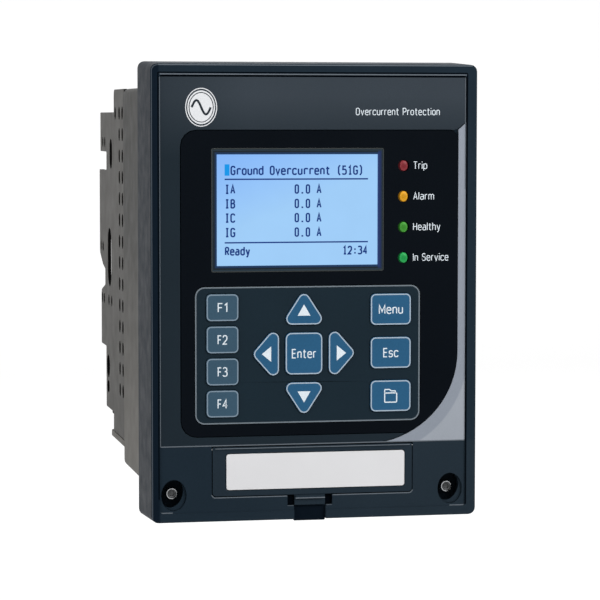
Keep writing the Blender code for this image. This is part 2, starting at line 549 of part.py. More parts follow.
class Builder:
    """Keeps the collections and the materials, and makes the objects in them."""

    def __init__(self):
        self.parts = collection_named("protection_relay")
        self.cutters = collection_named("cutters")
        self.cutters.hide_render = True
        self.materials = {name: principled(name) for name in COLOURS}

    def add(self, name, mesh, material=None):
        """A part if it has a material, and otherwise a cutter or a piece to be joined."""
        made = bpy.data.objects.new(name, mesh)
        if material:
            mesh.materials.append(self.materials[material])
            self.parts.objects.link(made)
        else:
            made.hide_render = True
            made.display_type = "WIRE"
            self.cutters.objects.link(made)
        return made

    def box(self, name, x, y, z, material=None):
        mesh = bpy.data.meshes.new(name)
        shape = bmesh.new()
        sides = Vector((x[1] - x[0], y[1] - y[0], z[1] - z[0]))
        middle = Vector((x[1] + x[0], y[1] + y[0], z[1] + z[0])) / 2
        bmesh.ops.create_cube(
            shape, size=1.0, matrix=Matrix.LocRotScale(middle, None, sides)
        )
        shape.to_mesh(mesh)
        shape.free()
        return self.add(name, mesh, material)

    def plate(self, name, outlines, normal, start, thickness, material=None):
        """A flat plate from 2D outlines, the first its edge and the rest its holes.

        normal Y takes outlines in X and Z, normal X in Y and Z, and normal Z in X and Y.
        """
        curve = bpy.data.curves.new(name, "CURVE")
        curve.dimensions = "2D"
        curve.fill_mode = "BOTH"
        curve.extrude = thickness / 2
        for outline in outlines:
            spline = curve.splines.new("POLY")
            spline.points.add(len(outline) - 1)
            spline.use_cyclic_u = True
            for point, (u, v) in zip(spline.points, outline):
                point.co = (u, v, 0.0, 1.0)
        guide = bpy.data.objects.new(name + "_curve", curve)
        middle = start + thickness / 2
        guide.matrix_world = {
            "X": Matrix(((0, 0, 1, middle), (1, 0, 0, 0), (0, 1, 0, 0), (0, 0, 0, 1))),
            "Y": Matrix(((1, 0, 0, 0), (0, 0, -1, middle), (0, 1, 0, 0), (0, 0, 0, 1))),
            "Z": Matrix.Translation((0, 0, middle)),
        }[normal]
        self.cutters.objects.link(guide)
        graph = bpy.context.evaluated_depsgraph_get()
        mesh = bpy.data.meshes.new_from_object(guide.evaluated_get(graph))
        mesh.transform(guide.matrix_world)
        bpy.data.objects.remove(guide)
        self.weld(mesh)
        return self.add(name, mesh, material)

    @staticmethod
    def weld(mesh):
        shape = bmesh.new()
        shape.from_mesh(mesh)
        bmesh.ops.remove_doubles(shape, verts=shape.verts, dist=0.001 * MM)
        bmesh.ops.recalc_face_normals(shape, faces=shape.faces)
        shape.to_mesh(mesh)
        shape.free()

    def rod(self, name, centre, radius, y, material=None, sides=ROUND_SIDES):
        """A round bar along Y, from the first to the second of y."""
        mesh = bpy.data.meshes.new(name)
        shape = bmesh.new()
        place = Matrix.Translation((centre[0], (y[0] + y[1]) / 2, centre[1]))
        bmesh.ops.create_cone(
            shape,
            cap_ends=True,
            segments=sides,
            radius1=radius,
            radius2=radius,
            depth=y[1] - y[0],
            matrix=place @ Matrix.Rotation(math.pi / 2, 4, "X"),
        )
        shape.to_mesh(mesh)
        shape.free()
        return self.add(name, mesh, material)

    def turned(self, name, profile, place, material=None, sides=ROUND_SIDES):
        """A turned piece: profile gives radius and height from the front end to the rear end."""
        mesh = bpy.data.meshes.new(name)
        edges = [(i, i + 1) for i in range(len(profile) - 1)]
        mesh.from_pydata([(r, 0.0, h) for r, h in profile], edges, [])
        made = self.add(name, mesh, material)
        made.location = place
        made.rotation_euler = (math.pi / 2, 0.0, 0.0)
        screw = made.modifiers.new("turn", "SCREW")
        screw.steps = sides
        screw.render_steps = sides
        screw.use_merge_vertices = True
        screw.merge_threshold = 0.001 * MM
        return made

    @staticmethod
    def combine(target, others, operation):
        for other in others:
            modifier = target.modifiers.new(other.name, "BOOLEAN")
            modifier.operation = operation
            modifier.solver = "EXACT"
            modifier.object = other

    def cut(self, target, *cutters):
        self.combine(target, cutters, "DIFFERENCE")

    def join(self, target, *others):
        self.combine(target, others, "UNION")

    @staticmethod
    def bevel(target, width, segments=1):
        modifier = target.modifiers.new("edge", "BEVEL")
        modifier.width = width
        modifier.segments = segments
        modifier.limit_method = "ANGLE"
        modifier.angle_limit = math.radians(50)

    @staticmethod
    def set_origin(target, point):
        target.data.transform(Matrix.Translation(-Vector(point)))
        target.location = point


# Outlines of the front


def sweep(grow, lowest):
    """The wide curve at the window's lower right, from its right side down to the height lowest."""
    centre_x, centre_z = SWEEP_CENTRE
    across = WINDOW_RIGHT - centre_x + grow
    down = SWEEP_DROP + grow
    last = math.asin(min(1.0, (centre_z - lowest) / down))
    turns = [last * i / SWEEP_STEPS for i in range(SWEEP_STEPS + 1)]
    return [(centre_x + across * math.cos(t), centre_z - down * math.sin(t)) for t in turns]


def window_outline(grow=0.0):
    """Counter-clockwise from the lower end of the sweep."""
    curve = sweep(grow, WINDOW_BOTTOM - grow)[::-1]
    right = WINDOW_RIGHT + grow
    corners = rounded(
        [
            (right, SWEEP_CENTRE[1]),
            (right, WINDOW_TOP + grow),
            (WINDOW_LEFT - grow, WINDOW_TOP + grow),
            (WINDOW_LEFT - grow, WINDOW_BOTTOM - grow),
            (curve[0][0], WINDOW_BOTTOM - grow),
        ],
        [
            0.0,
            WINDOW_TOP_RIGHT_CORNER + grow,
            WINDOW_CORNER + grow,
            WINDOW_CORNER + grow,
            0.0,
        ],
    )
    return curve[:-1] + corners[:-1]


def overlay_outline():
    """The field above the door bay, without the window and the trim."""
    bottom = FIELD_SPLIT + SEAM
    tip = sweep(0.0, bottom)[::-1]
    hole = window_outline(SEAM)
    under = [p for p in tip if p[1] < WINDOW_BOTTOM - SEAM]
    corner = max(range(len(hole)), key=lambda i: hole[i][0] + hole[i][1])
    left_part = hole[corner + 1 :] + [(under[-1][0], WINDOW_BOTTOM - SEAM)]
    right = FIELD_RIGHT - SEAM
    return (
        [(FIELD_LEFT + SEAM, bottom)]
        + under
        + left_part[::-1]
        + [(WINDOW_RIGHT, TRIM_TOP + SEAM), (right, TRIM_TOP + TRIM_SLANT + SEAM)]
        + rounded(
            [
                (right, TRIM_TOP + 2 * TRIM_SLANT),
                (right, FIELD_TOP - SEAM),
                (FIELD_LEFT + SEAM, FIELD_TOP - SEAM),
                (FIELD_LEFT + SEAM, TRIM_TOP),
            ],
            [0.0, FIELD_CORNER, FIELD_CORNER, 0.0],
        )[1:-1]
    )


def trim_outline():
    """The strip right of the window and the corner below its sweep."""
    bottom = FIELD_SPLIT + SEAM
    right = FIELD_RIGHT - SEAM
    inner = sweep(SEAM, bottom)
    return [
        (right, bottom),
        (right, TRIM_TOP + TRIM_SLANT),
        (WINDOW_RIGHT + SEAM, TRIM_TOP),
    ] + inner


def display_outline(grow=0.0):
    return rectangle(
        DISPLAY_LEFT, DISPLAY_RIGHT, DISPLAY_BOTTOM, DISPLAY_TOP, DISPLAY_CORNER, grow
    )


def keypad_outline(grow=0.0):
    return rectangle(
        KEYPAD_LEFT, KEYPAD_RIGHT, KEYPAD_BOTTOM, KEYPAD_TOP, KEYPAD_CORNER, grow
    )


def key_layout():
    """Each key's name, centre, material and the function that gives its outline for a growth."""
    keys = []

    def box_key(name, centre, size, material):
        keys.append((name, centre, material, lambda grow: centred((0, 0), *size, grow)))

    def arrow_key(name, centre, size, turn):
        keys.append(
            (name, centre, "key", lambda grow: triangle(*size, ARROW_CORNER, turn, grow))
        )

    top = KEYPAD_MIDDLE_Z + FUNCTION_COLUMN / 2 - FUNCTION_KEY[1] / 2
    for i in range(FUNCTION_KEYS):
        place = (FUNCTION_KEY_X, top - i * (FUNCTION_KEY[1] + FUNCTION_KEY_GAP))
        box_key(f"key_f{i + 1}", place, FUNCTION_KEY, "function_key")
    top = KEYPAD_MIDDLE_Z + MENU_RISE + MENU_COLUMN / 2 - MENU_KEY[1] / 2
    for i, name in enumerate(MENU_KEYS):
        place = (MENU_KEY_X, top - i * (MENU_KEY[1] + MENU_KEY_GAP))
        box_key(name, place, MENU_KEY, "key")
    box_key("key_enter", ENTER_CENTRE, ENTER_KEY, "key")
    x, z = ENTER_CENTRE
    rise = ENTER_KEY[1] / 2 + ENTER_GAP_Z + ARROW_KEY[1] / 2
    reach = ENTER_KEY[0] / 2 + ENTER_GAP_X + SIDE_ARROW_KEY[1] / 2
    arrow_key("key_up", (x, z + rise), ARROW_KEY, 0.0)
    arrow_key("key_down", (x, z - rise), ARROW_KEY, math.pi)
    arrow_key("key_left", (x - reach, z), SIDE_ARROW_KEY, math.pi / 2)
    arrow_key("key_right", (x + reach, z), SIDE_ARROW_KEY, -math.pi / 2)
    return keys


def lamp_places():
    top = DISPLAY_TOP - LAMP_INSET_TOP
    pitch = (DISPLAY_HEIGHT - LAMP_INSET_TOP - LAMP_INSET_BOTTOM) / (len(LAMP_NAMES) - 1)
    return {name: (LAMP_X, top - i * pitch) for i, name in enumerate(LAMP_NAMES)}


def board_boss_places():
    side = BOARD_HALF_WIDTH - BOARD_BOSS_INSET
    heights = (BOARD_TOP - BOARD_BOSS_INSET, BOARD_BOTTOM + BOARD_BOSS_INSET)
    return [(x, z) for x in (-side, side) for z in heights]


def pocket_outline(centre, radius):
    """An upright oval round a front screw."""
    return shifted([(x * POCKET_WIDTH, z) for x, z in circle((0.0, 0.0), radius, 24)], centre)


# Bezel


def bay_height():
    return (DOOR_BOTTOM - DOOR_GAP, DOOR_TOP + DOOR_GAP)


def hinge_line():
    """Y and Z of the door's hinge, the centre of its round upper front edge."""
    return (FRONT + FIELD_DEPTH + DOOR_ROUND, DOOR_TOP - DOOR_ROUND)


def drafted(target):
    """Widens the rear of a block by the moulding draft, in proportion to the distance from the front."""
    half = (BEZEL_WIDTH / 2, BEZEL_HEIGHT / 2)
    for vertex in target.data.vertices:
        share = (vertex.co.y - FRONT) / BEZEL_DEPTH
        vertex.co.x *= 1 + share * DRAFT_X / half[0]
        vertex.co.z *= 1 + share * DRAFT_Z / half[1]


def bezel_block(build, name, inset, first, last, material=None):
    outline = centred(
        (0, 0), BEZEL_WIDTH - 2 * inset, BEZEL_HEIGHT - 2 * inset, BEZEL_CORNER
    )
    block = build.plate(name, [outline], "Y", first, last - first, material)
    drafted(block)
    return block


def bezel_bosses(build):
    """Posts behind the front wall: for the front board, and round the case screws."""
    start = FRONT + BEZEL_FRONT_WALL - CUT_MARGIN
    board_face = FRONT + BOARD_DEPTH - SEAM
    ring_face = -COLLAR_RING_DEPTH - SEAM
    for i, place in enumerate(board_boss_places()):
        yield build.rod(f"board_boss_{i}", place, BOARD_BOSS_RADIUS, (start, board_face))
    for name, place in SCREW_CENTRES.items():
        radius = POCKET_RADIUS + BOSS_WALL
        outline = pocket_outline(place, radius)
        yield build.plate(f"{name}_boss", [outline], "Y", start, ring_face - start)
    for side in (-1, 1):
        place = (side * TOP_SCREW_X, COLLAR_TOP + TOP_SCREW_RISE)
        radius = SCREW_SHANK_RADIUS + BOSS_WALL
        yield build.rod(f"top_boss_{side}", place, radius, (start, ring_face))


def front_openings(build):
    """What is cut from the bezel's front for the overlay, window, display, lamps and keypad."""
    front = FRONT - CUT_MARGIN
    back = FRONT + BEZEL_FRONT_WALL + CUT_MARGIN
    through = back - front

    def sunk(name, outline, depth):
        return build.plate(name, [outline], "Y", front, depth + CUT_MARGIN)

    field = rectangle(FIELD_LEFT, FIELD_RIGHT, FIELD_BOTTOM, FIELD_TOP, FIELD_CORNER)
    yield sunk("cut_field", field, FIELD_DEPTH)
    upper = rectangle(FIELD_LEFT, FIELD_RIGHT, FIELD_SPLIT, FIELD_TOP, FIELD_CORNER)
    yield sunk("cut_overlay", upper, FIELD_DEPTH + OVERLAY_THICKNESS + SEAM)
    window_floor = WINDOW_DEPTH + WINDOW_THICKNESS + SEAM
    yield sunk("cut_window", window_outline(SEAM), window_floor)
    module = display_outline(MODULE_MARGIN + SEAM)
    yield build.plate("cut_display", [module], "Y", front, through)
    keypad = keypad_outline(-KEYPAD_LEDGE)
    yield build.plate("cut_keypad", [keypad], "Y", front, through)
    for name, place in lamp_places().items():
        yield build.rod(f"cut_{name}", place, LAMP_RADIUS + SEAM, (front, back))


def bay_openings(build):
    """What is cut for the door bay, its rebate, the latch and the finger channel."""
    front = FRONT - CUT_MARGIN
    low, high = bay_height()
    left, right = DOOR_LEFT - DOOR_GAP, DOOR_RIGHT + DOOR_GAP
    rebate = FIELD_DEPTH + DOOR_THICKNESS + DOOR_GAP
    outline = rounded(
        [(left, low), (right, low), (right, high), (left, high)],
        [DOOR_CORNER + DOOR_GAP, DOOR_CORNER + DOOR_GAP, 0.0, 0.0],
    )
    yield build.plate("cut_door_seat", [outline], "Y", front, rebate + CUT_MARGIN)
    hollow = rectangle(left + BAY_LIP, right - BAY_LIP, low + BAY_LIP, high, 0.0)
    yield build.plate("cut_bay", [hollow], "Y", front, BAY_DEPTH + CUT_MARGIN)
    tab = LATCH_WIDTH / 2 + LATCH_NOTCH
    yield build.box(
        "cut_latch",
        (LATCH_CENTRE_X - tab, LATCH_CENTRE_X + tab),
        (front, FRONT + FIELD_DEPTH + LATCH_THICKNESS + 2 * SEAM),
        (LATCH_BOTTOM - SEAM, low + CUT_MARGIN),
    )
    yield build.box(
        "cut_channel",
        (LATCH_CENTRE_X - CHANNEL_WIDTH / 2, LATCH_CENTRE_X + CHANNEL_WIDTH / 2),
        (front, FRONT + FIELD_DEPTH + CHANNEL_DEPTH),
        (-BEZEL_HEIGHT / 2 - CUT_MARGIN, LATCH_BOTTOM + CUT_MARGIN),
    )
    port_half = (PORT_SHELL[0] / 2 + SEAM, PORT_SHELL[1] / 2 + SEAM)
    yield build.box(
        "cut_port",
        (PORT_CENTRE[0] - port_half[0], PORT_CENTRE[0] + port_half[0]),
        (FRONT + BAY_DEPTH - CUT_MARGIN, FRONT + BAY_DEPTH + BAY_WALL + CUT_MARGIN),
        (PORT_CENTRE[1] - port_half[1], PORT_CENTRE[1] + port_half[1]),
    )


def screw_openings(build):
    front = FRONT - CUT_MARGIN
    for name, place in SCREW_CENTRES.items():
        pocket = pocket_outline(place, POCKET_RADIUS)
        yield build.plate(f"cut_{name}_pocket", [pocket], "Y", front, POCKET_DEPTH + CUT_MARGIN)
        hole = SCREW_SHANK_RADIUS + SCREW_HOLE_CLEARANCE
        yield build.rod(f"cut_{name}", place, hole, (front, 0.0), sides=PIN_SIDES)
    for side in (-1, 1):
        place = (side * TOP_SCREW_X, COLLAR_TOP + TOP_SCREW_RISE)
        hole = SCREW_SHANK_RADIUS + SCREW_HOLE_CLEARANCE
        reach = (-COLLAR_RING_DEPTH - TOP_SCREW_LENGTH, 0.0)
        yield build.rod(f"cut_top_screw_{side}", place, hole, reach, sides=PIN_SIDES)


def hinge_openings(build):
    y, z = hinge_line()
    for side, edge in ((-1, DOOR_LEFT), (1, DOOR_RIGHT)):
        inner = edge - side * DOOR_PIN_IN_DOOR
        outer = inner + side * (DOOR_PIN_LENGTH + SEAM)
        ends = (min(inner, outer), max(inner, outer))
        radius = DOOR_PIN_RADIUS + DOOR_PIN_CLEARANCE
        hole = circle((y, z), radius, PIN_SIDES)
        yield build.plate(f"cut_hinge_{side}", [hole], "X", ends[0], ends[1] - ends[0])


def front_bezel(build):
    bezel = bezel_block(build, "front_bezel", 0.0, FRONT, 0.0, "bezel")
    build.bevel(bezel, BEZEL_EDGE, 2)
    cavity = (FRONT + BEZEL_FRONT_WALL, CUT_MARGIN)
    build.cut(bezel, bezel_block(build, "cut_cavity", BEZEL_WALL, *cavity))
    low, high = bay_height()
    bay = build.box(
        "bay_walls",
        (DOOR_LEFT - DOOR_GAP - BAY_WALL, DOOR_RIGHT + DOOR_GAP + BAY_WALL),
        (FRONT + BEZEL_FRONT_WALL - CUT_MARGIN, FRONT + BAY_DEPTH + BAY_WALL),
        (low - BAY_WALL, high + BAY_WALL),
    )
    build.join(bezel, bay, *bezel_bosses(build))
    build.cut(bezel, *front_openings(build), *bay_openings(build))
    build.cut(bezel, *screw_openings(build), *hinge_openings(build))


# Pieces of the front


def overlay_and_window(build):
    surface = FRONT + FIELD_DEPTH
    build.plate(
        "front_overlay", [overlay_outline()], "Y", surface, OVERLAY_THICKNESS, "overlay"
    )
    build.plate("silver_trim", [trim_outline()], "Y", surface, OVERLAY_THICKNESS, "trim")
    holes = [display_outline(SEAM), keypad_outline(SEAM)]
    for place in lamp_places().values():
        holes.append(circle(place, LAMP_RADIUS + SEAM))
    build.plate(
        "display_window",
        [window_outline(), *holes],
        "Y",
        FRONT + WINDOW_DEPTH,
        WINDOW_THICKNESS,
        "window",
    )


def display(build):
    lit = rectangle(
        DISPLAY_LEFT + DISPLAY_BORDER_X,
        DISPLAY_RIGHT - DISPLAY_BORDER_X,
        DISPLAY_BOTTOM + DISPLAY_BORDER_Z,
        DISPLAY_TOP - DISPLAY_BORDER_Z,
    )
    start = FRONT + DISPLAY_FRAME_DEPTH
    frame = build.plate(
        "display_frame",
        [display_outline(), lit],
        "Y",
        start,
        DISPLAY_FRAME_THICKNESS,
        "display_frame",
    )
    build.bevel(frame, 0.3 * MM)
    glass = start + DISPLAY_FRAME_THICKNESS + SEAM
    build.plate(
        "display_glass", [display_outline()], "Y", glass, DISPLAY_GLASS_THICKNESS, "display"
    )
    back = glass + DISPLAY_GLASS_THICKNESS + SEAM
    module = display_outline(MODULE_MARGIN)
    length = FRONT + BOARD_DEPTH - SEAM - back
    build.plate("display_module", [module], "Y", back, length, "steel")


def lamps(build):
    """Each lamp is a lens with a round nose, standing on the front board."""
    face = FRONT + WINDOW_DEPTH
    length = BOARD_DEPTH - WINDOW_DEPTH - SEAM
    for name, (x, z) in lamp_places().items():
        nose = [
            (LAMP_RADIUS * math.sin(t), LAMP_PROUD * math.cos(t))
            for t in (i * math.pi / 6 for i in range(4))
        ]
        profile = nose + [
            (LAMP_RADIUS, -length + 2 * LAMP_FLANGE),
            (LAMP_RADIUS + LAMP_FLANGE, -length + 2 * LAMP_FLANGE),
            (LAMP_RADIUS + LAMP_FLANGE, -length),
            (0.0, -length),
        ]
        build.turned(name, profile, (x, face, z), name, PIN_SIDES)


def keypad(build):
    keys = key_layout()
    face = FRONT + KEYPAD_DEPTH
    thickness = WINDOW_DEPTH + WINDOW_THICKNESS - KEYPAD_DEPTH
    holes = [
        shifted(outline(KEY_CLEARANCE), centre) for _, centre, _, outline in keys
    ]
    build.plate("keypad_plate", [keypad_outline(), *holes], "Y", face, thickness, "keypad")
    flange = face + thickness + KEY_BACK_GAP
    stem_end = FRONT + BOARD_DEPTH - SWITCH_HEIGHT - KEY_TRAVEL - KEY_PRESS_GAP
    for name, centre, material, outline in keys:
        cap = build.plate(
            name,
            [shifted(outline(0.0), centre)],
            "Y",
            face - KEY_PROUD,
            flange - face + KEY_PROUD + KEY_FLANGE_THICKNESS / 2,
            material,
        )
        build.set_origin(cap, (centre[0], face, centre[1]))
        build.bevel(cap, KEY_EDGE)
        rim = [shifted(outline(KEY_FLANGE), centre)]
        skirt = build.plate(f"{name}_flange", rim, "Y", flange, KEY_FLANGE_THICKNESS)
        reach = (flange + KEY_FLANGE_THICKNESS / 2, stem_end)
        stem = build.rod(f"{name}_stem", centre, KEY_STEM_RADIUS, reach, sides=PIN_SIDES)
        build.join(cap, skirt, stem)


def front_board(build):
    face = FRONT + BOARD_DEPTH
    outline = rectangle(-BOARD_HALF_WIDTH, BOARD_HALF_WIDTH, BOARD_BOTTOM, BOARD_TOP, BOARD_CORNER)
    board = build.plate("front_board", [outline], "Y", face, BOARD_THICKNESS, "board")
    top = face - SWITCH_HEIGHT
    for name, centre, _, _ in key_layout():
        reach = (top, face + BOARD_THICKNESS / 2)
        switch = build.rod(f"{name}_switch", centre, SWITCH_RADIUS, reach, sides=8)
        build.join(board, switch)
    x = CARD_X["main_board"]
    socket = build.box(
        "board_socket",
        (x - BOARD_SOCKET[0] / 2, x + BOARD_SOCKET[0] / 2),
        (face + BOARD_THICKNESS / 2, face + BOARD_THICKNESS + BOARD_SOCKET_DEPTH),
        (-BOARD_SOCKET[1] / 2, BOARD_SOCKET[1] / 2),
    )
    build.join(board, socket)


# Door bay


def label_door(build):
    hinge_y, hinge_z = hinge_line()
    front = FRONT + FIELD_DEPTH
    arc = [math.pi / 2 + math.pi * i / 8 for i in range(5)]
    section = [(front + DOOR_THICKNESS, DOOR_TOP)]
    section += [
        (hinge_y + DOOR_ROUND * math.cos(t), hinge_z + DOOR_ROUND * math.sin(t)) for t in arc
    ]
    low = DOOR_BOTTOM - CUT_MARGIN
    section += [(front, low), (front + DOOR_THICKNESS, low)]
    start = DOOR_LEFT - CUT_MARGIN
    width = DOOR_RIGHT - DOOR_LEFT + 2 * CUT_MARGIN
    door = build.plate("label_door", [section], "X", start, width, "bezel")
    build.set_origin(door, ((DOOR_LEFT + DOOR_RIGHT) / 2, hinge_y, hinge_z))
    outline = rounded(
        [
            (DOOR_LEFT, DOOR_BOTTOM),
            (DOOR_RIGHT, DOOR_BOTTOM),
            (DOOR_RIGHT, DOOR_TOP + CUT_MARGIN),
            (DOOR_LEFT, DOOR_TOP + CUT_MARGIN),
        ],
        [DOOR_CORNER, DOOR_CORNER, 0.0, 0.0],
    )
    reach = DOOR_THICKNESS + 2 * CUT_MARGIN
    face = build.plate("door_face", [outline], "Y", front - CUT_MARGIN, reach)
    build.combine(door, [face], "INTERSECT")
    tab_x = (LATCH_CENTRE_X - LATCH_WIDTH / 2, LATCH_CENTRE_X + LATCH_WIDTH / 2)
    tab = build.box(
        "latch_tab",
        tab_x,
        (front + SEAM, front + SEAM + LATCH_THICKNESS),
        (LATCH_BOTTOM, DOOR_BOTTOM + CUT_MARGIN),
    )
    ridge = build.box(
        "latch_ridge",
        (tab_x[0] + SEAM, tab_x[1] - SEAM),
        (front - LATCH_RIDGE, front + LATCH_THICKNESS / 2),
        (DOOR_BOTTOM - 2 * LATCH_RIDGE, DOOR_BOTTOM - LATCH_RIDGE / 2),
    )
    build.join(door, tab, ridge)
    label = rectangle(LABEL_LEFT, LABEL_RIGHT, LABEL_BOTTOM, LABEL_TOP, LABEL_CORNER, SEAM)
    cut = build.plate("cut_label", [label], "Y", front - CUT_MARGIN, CUT_MARGIN + LABEL_RECESS)
    build.cut(door, cut)
    for side, edge in ((-1, DOOR_LEFT), (1, DOOR_RIGHT)):
        inner = edge - side * (DOOR_PIN_IN_DOOR + SEAM)
        outer = edge + side * CUT_MARGIN
        hole = circle((hinge_y, hinge_z), DOOR_PIN_RADIUS + DOOR_PIN_CLEARANCE, PIN_SIDES)
        ends = (min(inner, outer), max(inner, outer))
        build.cut(
            door,
            build.plate(f"cut_door_pin_{side}", [hole], "X", ends[0], ends[1] - ends[0]),
        )
    plate = rectangle(LABEL_LEFT, LABEL_RIGHT, LABEL_BOTTOM, LABEL_TOP, LABEL_CORNER)
    face = front + LABEL_RECESS - SEAM - LABEL_THICKNESS
    build.plate("label_plate", [plate], "Y", face, LABEL_THICKNESS, "label")


def hinge_pins(build):
    for side, name, edge in (
        (-1, "door_hinge_pin_left", DOOR_LEFT),
        (1, "door_hinge_pin_right", DOOR_RIGHT),
    ):
        inner = edge - side * DOOR_PIN_IN_DOOR
        outer = inner + side * DOOR_PIN_LENGTH
        section = circle(hinge_line(), DOOR_PIN_RADIUS, PIN_SIDES)
        start = min(inner, outer)
        build.plate(name, [section], "X", start, DOOR_PIN_LENGTH, "steel")


def service_port(build):
    """A nine-way socket, held by the rear wall of the bay."""
    x, z = PORT_CENTRE
    wall = FRONT + BAY_DEPTH
    width, height = (a + 2 * b for a, b in zip(PORT_SHELL, PORT_FLANGE_MARGIN))
    flange = centred(PORT_CENTRE, width, height, PORT_FLANGE_CORNER)
    seat = wall - SEAM - PORT_FLANGE
    port = build.plate("service_port", [flange], "Y", seat, PORT_FLANGE, "steel")
    half_w, half_h = PORT_SHELL[0] / 2, PORT_SHELL[1] / 2
    narrow = half_w - 2 * half_h * math.tan(PORT_SHELL_SLOPE)
    points = [
        (x - narrow, z - half_h),
        (x + narrow, z - half_h),
        (x + half_w, z + half_h),
        (x - half_w, z + half_h),
    ]
    shell = rounded(points, PORT_SHELL_CORNER)
    start = seat - PORT_SHELL_LENGTH
    body = build.plate("port_shell", [shell], "Y", start, PORT_SHELL_LENGTH + PORT_FLANGE / 2)
    back = centred(PORT_CENTRE, PORT_SHELL[0] - SEAM, PORT_SHELL[1] - SEAM)
    body_start = seat + PORT_FLANGE / 2
    length = -COLLAR_RING_DEPTH - 2 * SEAM - body_start
    rear = build.plate("port_body", [back], "Y", body_start, length)
    build.join(port, body, rear)
    for row, count in ((1, 5), (-1, 4)):
        for i in range(count):
            place = (x + (i - (count - 1) / 2) * PORT_PIN_PITCH, z + row * PORT_PIN_ROW / 2)
            ends = (start - CUT_MARGIN, start + PORT_SHELL_LENGTH / 2)
            hole = build.rod(f"cut_port_{row}_{i}", place, PORT_PIN_RADIUS, ends, sides=6)
            build.cut(port, hole)


def front_screws(build):
    for name, (x, z) in SCREW_CENTRES.items():
        seat = FRONT + POCKET_DEPTH - SEAM
        length = -COLLAR_RING_DEPTH + COLLAR_RING_THICKNESS - SEAM - seat
        profile = [
            (0.0, SCREW_HEAD_HEIGHT - SCREW_SOCKET_DEPTH),
            (SCREW_SOCKET_RADIUS, SCREW_HEAD_HEIGHT - SCREW_SOCKET_DEPTH),
            (SCREW_SOCKET_RADIUS, SCREW_HEAD_HEIGHT),
            (SCREW_HEAD_RADIUS - SCREW_HEAD_EDGE, SCREW_HEAD_HEIGHT),
            (SCREW_HEAD_RADIUS, SCREW_HEAD_HEIGHT - SCREW_HEAD_EDGE),
            (SCREW_HEAD_RADIUS, 0.0),
            (SCREW_SHANK_RADIUS, 0.0),
            (SCREW_SHANK_RADIUS, -length),
            (0.0, -length),
        ]
        build.turned(name, profile, (x, seat, z), "steel", PIN_SIDES)


def bezel_screws(build):
    """The upper pair, driven from behind the collar's ring into the bezel."""
    for side, name in ((-1, "bezel_screw_left"), (1, "bezel_screw_right")):
        seat = -COLLAR_RING_DEPTH + COLLAR_RING_THICKNESS + SEAM
        place = (side * TOP_SCREW_X, seat, COLLAR_TOP + TOP_SCREW_RISE)
        length = TOP_SCREW_LENGTH + COLLAR_RING_THICKNESS
        profile = [
            (0.0, length),
            (SCREW_SHANK_RADIUS, length),
            (SCREW_SHANK_RADIUS, 0.0),
            (SCREW_HEAD_RADIUS, 0.0),
            (SCREW_HEAD_RADIUS, -TOP_SCREW_HEAD),
            (0.0, -TOP_SCREW_HEAD),
        ]
        build.turned(name, profile, place, "steel", PIN_SIDES)


# Case


def case_collar(build):
    half = CASE_WIDTH / 2
    outer = rectangle(-half, half, COLLAR_BOTTOM, COLLAR_TOP, COLLAR_CORNER)
    start = -COLLAR_RING_DEPTH + COLLAR_EDGE
    collar = build.plate("case_collar", [outer], "Y", start, COLLAR_REAR - start, "case")
    build.bevel(collar, COLLAR_EDGE)
    ring = rectangle(
        -half + 2 * COLLAR_EDGE,
        half - 2 * COLLAR_EDGE,
        COLLAR_BOTTOM - COLLAR_RING_REACH,
        COLLAR_TOP + COLLAR_RING_REACH,
        COLLAR_RING_CORNER,
    )
    build.join(
        collar,
        build.plate(
            "collar_ring",
            [ring],
            "Y",
            -COLLAR_RING_DEPTH,
            COLLAR_RING_THICKNESS,
        ),
    )
    tongue_half = half - CHEEK_INSET - CHEEK_THICKNESS - SEAM
    tongue_top = COLLAR_TOP - TOP_CLEARANCE - SHEET - SEAM
    tongue = rectangle(-tongue_half, tongue_half, CASE_BOTTOM + SEAM, tongue_top)
    length = COLLAR_WALL + COLLAR_TONGUE
    build.join(
        collar,
        build.plate("collar_tongue", [tongue], "Y", COLLAR_REAR - COLLAR_WALL, length),
    )
    inside = rectangle(
        -half + COLLAR_WALL,
        half - COLLAR_WALL,
        COLLAR_BOTTOM + COLLAR_WALL,
        COLLAR_TOP - COLLAR_WALL,
    )
    first = -COLLAR_RING_DEPTH + COLLAR_RING_THICKNESS
    last = COLLAR_REAR - COLLAR_WALL
    build.cut(collar, build.plate("cut_collar", [inside], "Y", first, last - first))
    mouth = rectangle(
        -half + COLLAR_RING_SIDE,
        half - COLLAR_RING_SIDE,
        COLLAR_RING_BOTTOM,
        COLLAR_TOP - 2 * COLLAR_WALL,
    )
    front = -COLLAR_RING_DEPTH - CUT_MARGIN
    depth = COLLAR_RING_THICKNESS + 2 * CUT_MARGIN
    build.cut(collar, build.plate("cut_mouth", [mouth], "Y", front, depth))
    rear = rectangle(
        -tongue_half + SHEET,
        tongue_half - SHEET,
        CASE_BOTTOM + SEAM + SHEET,
        tongue_top - SHEET,
    )
    depth = COLLAR_WALL + COLLAR_TONGUE + 2 * CUT_MARGIN
    build.cut(collar, build.plate("cut_rear", [rear], "Y", last - CUT_MARGIN, depth))
    places = list(SCREW_CENTRES.values())
    places += [(side * TOP_SCREW_X, COLLAR_TOP + TOP_SCREW_RISE) for side in (-1, 1)]
    for i, place in enumerate(places):
        reach = (front, front + depth)
        hole = SCREW_SHANK_RADIUS + SCREW_HOLE_CLEARANCE
        build.cut(collar, build.rod(f"cut_ring_{i}", place, hole, reach, sides=PIN_SIDES))


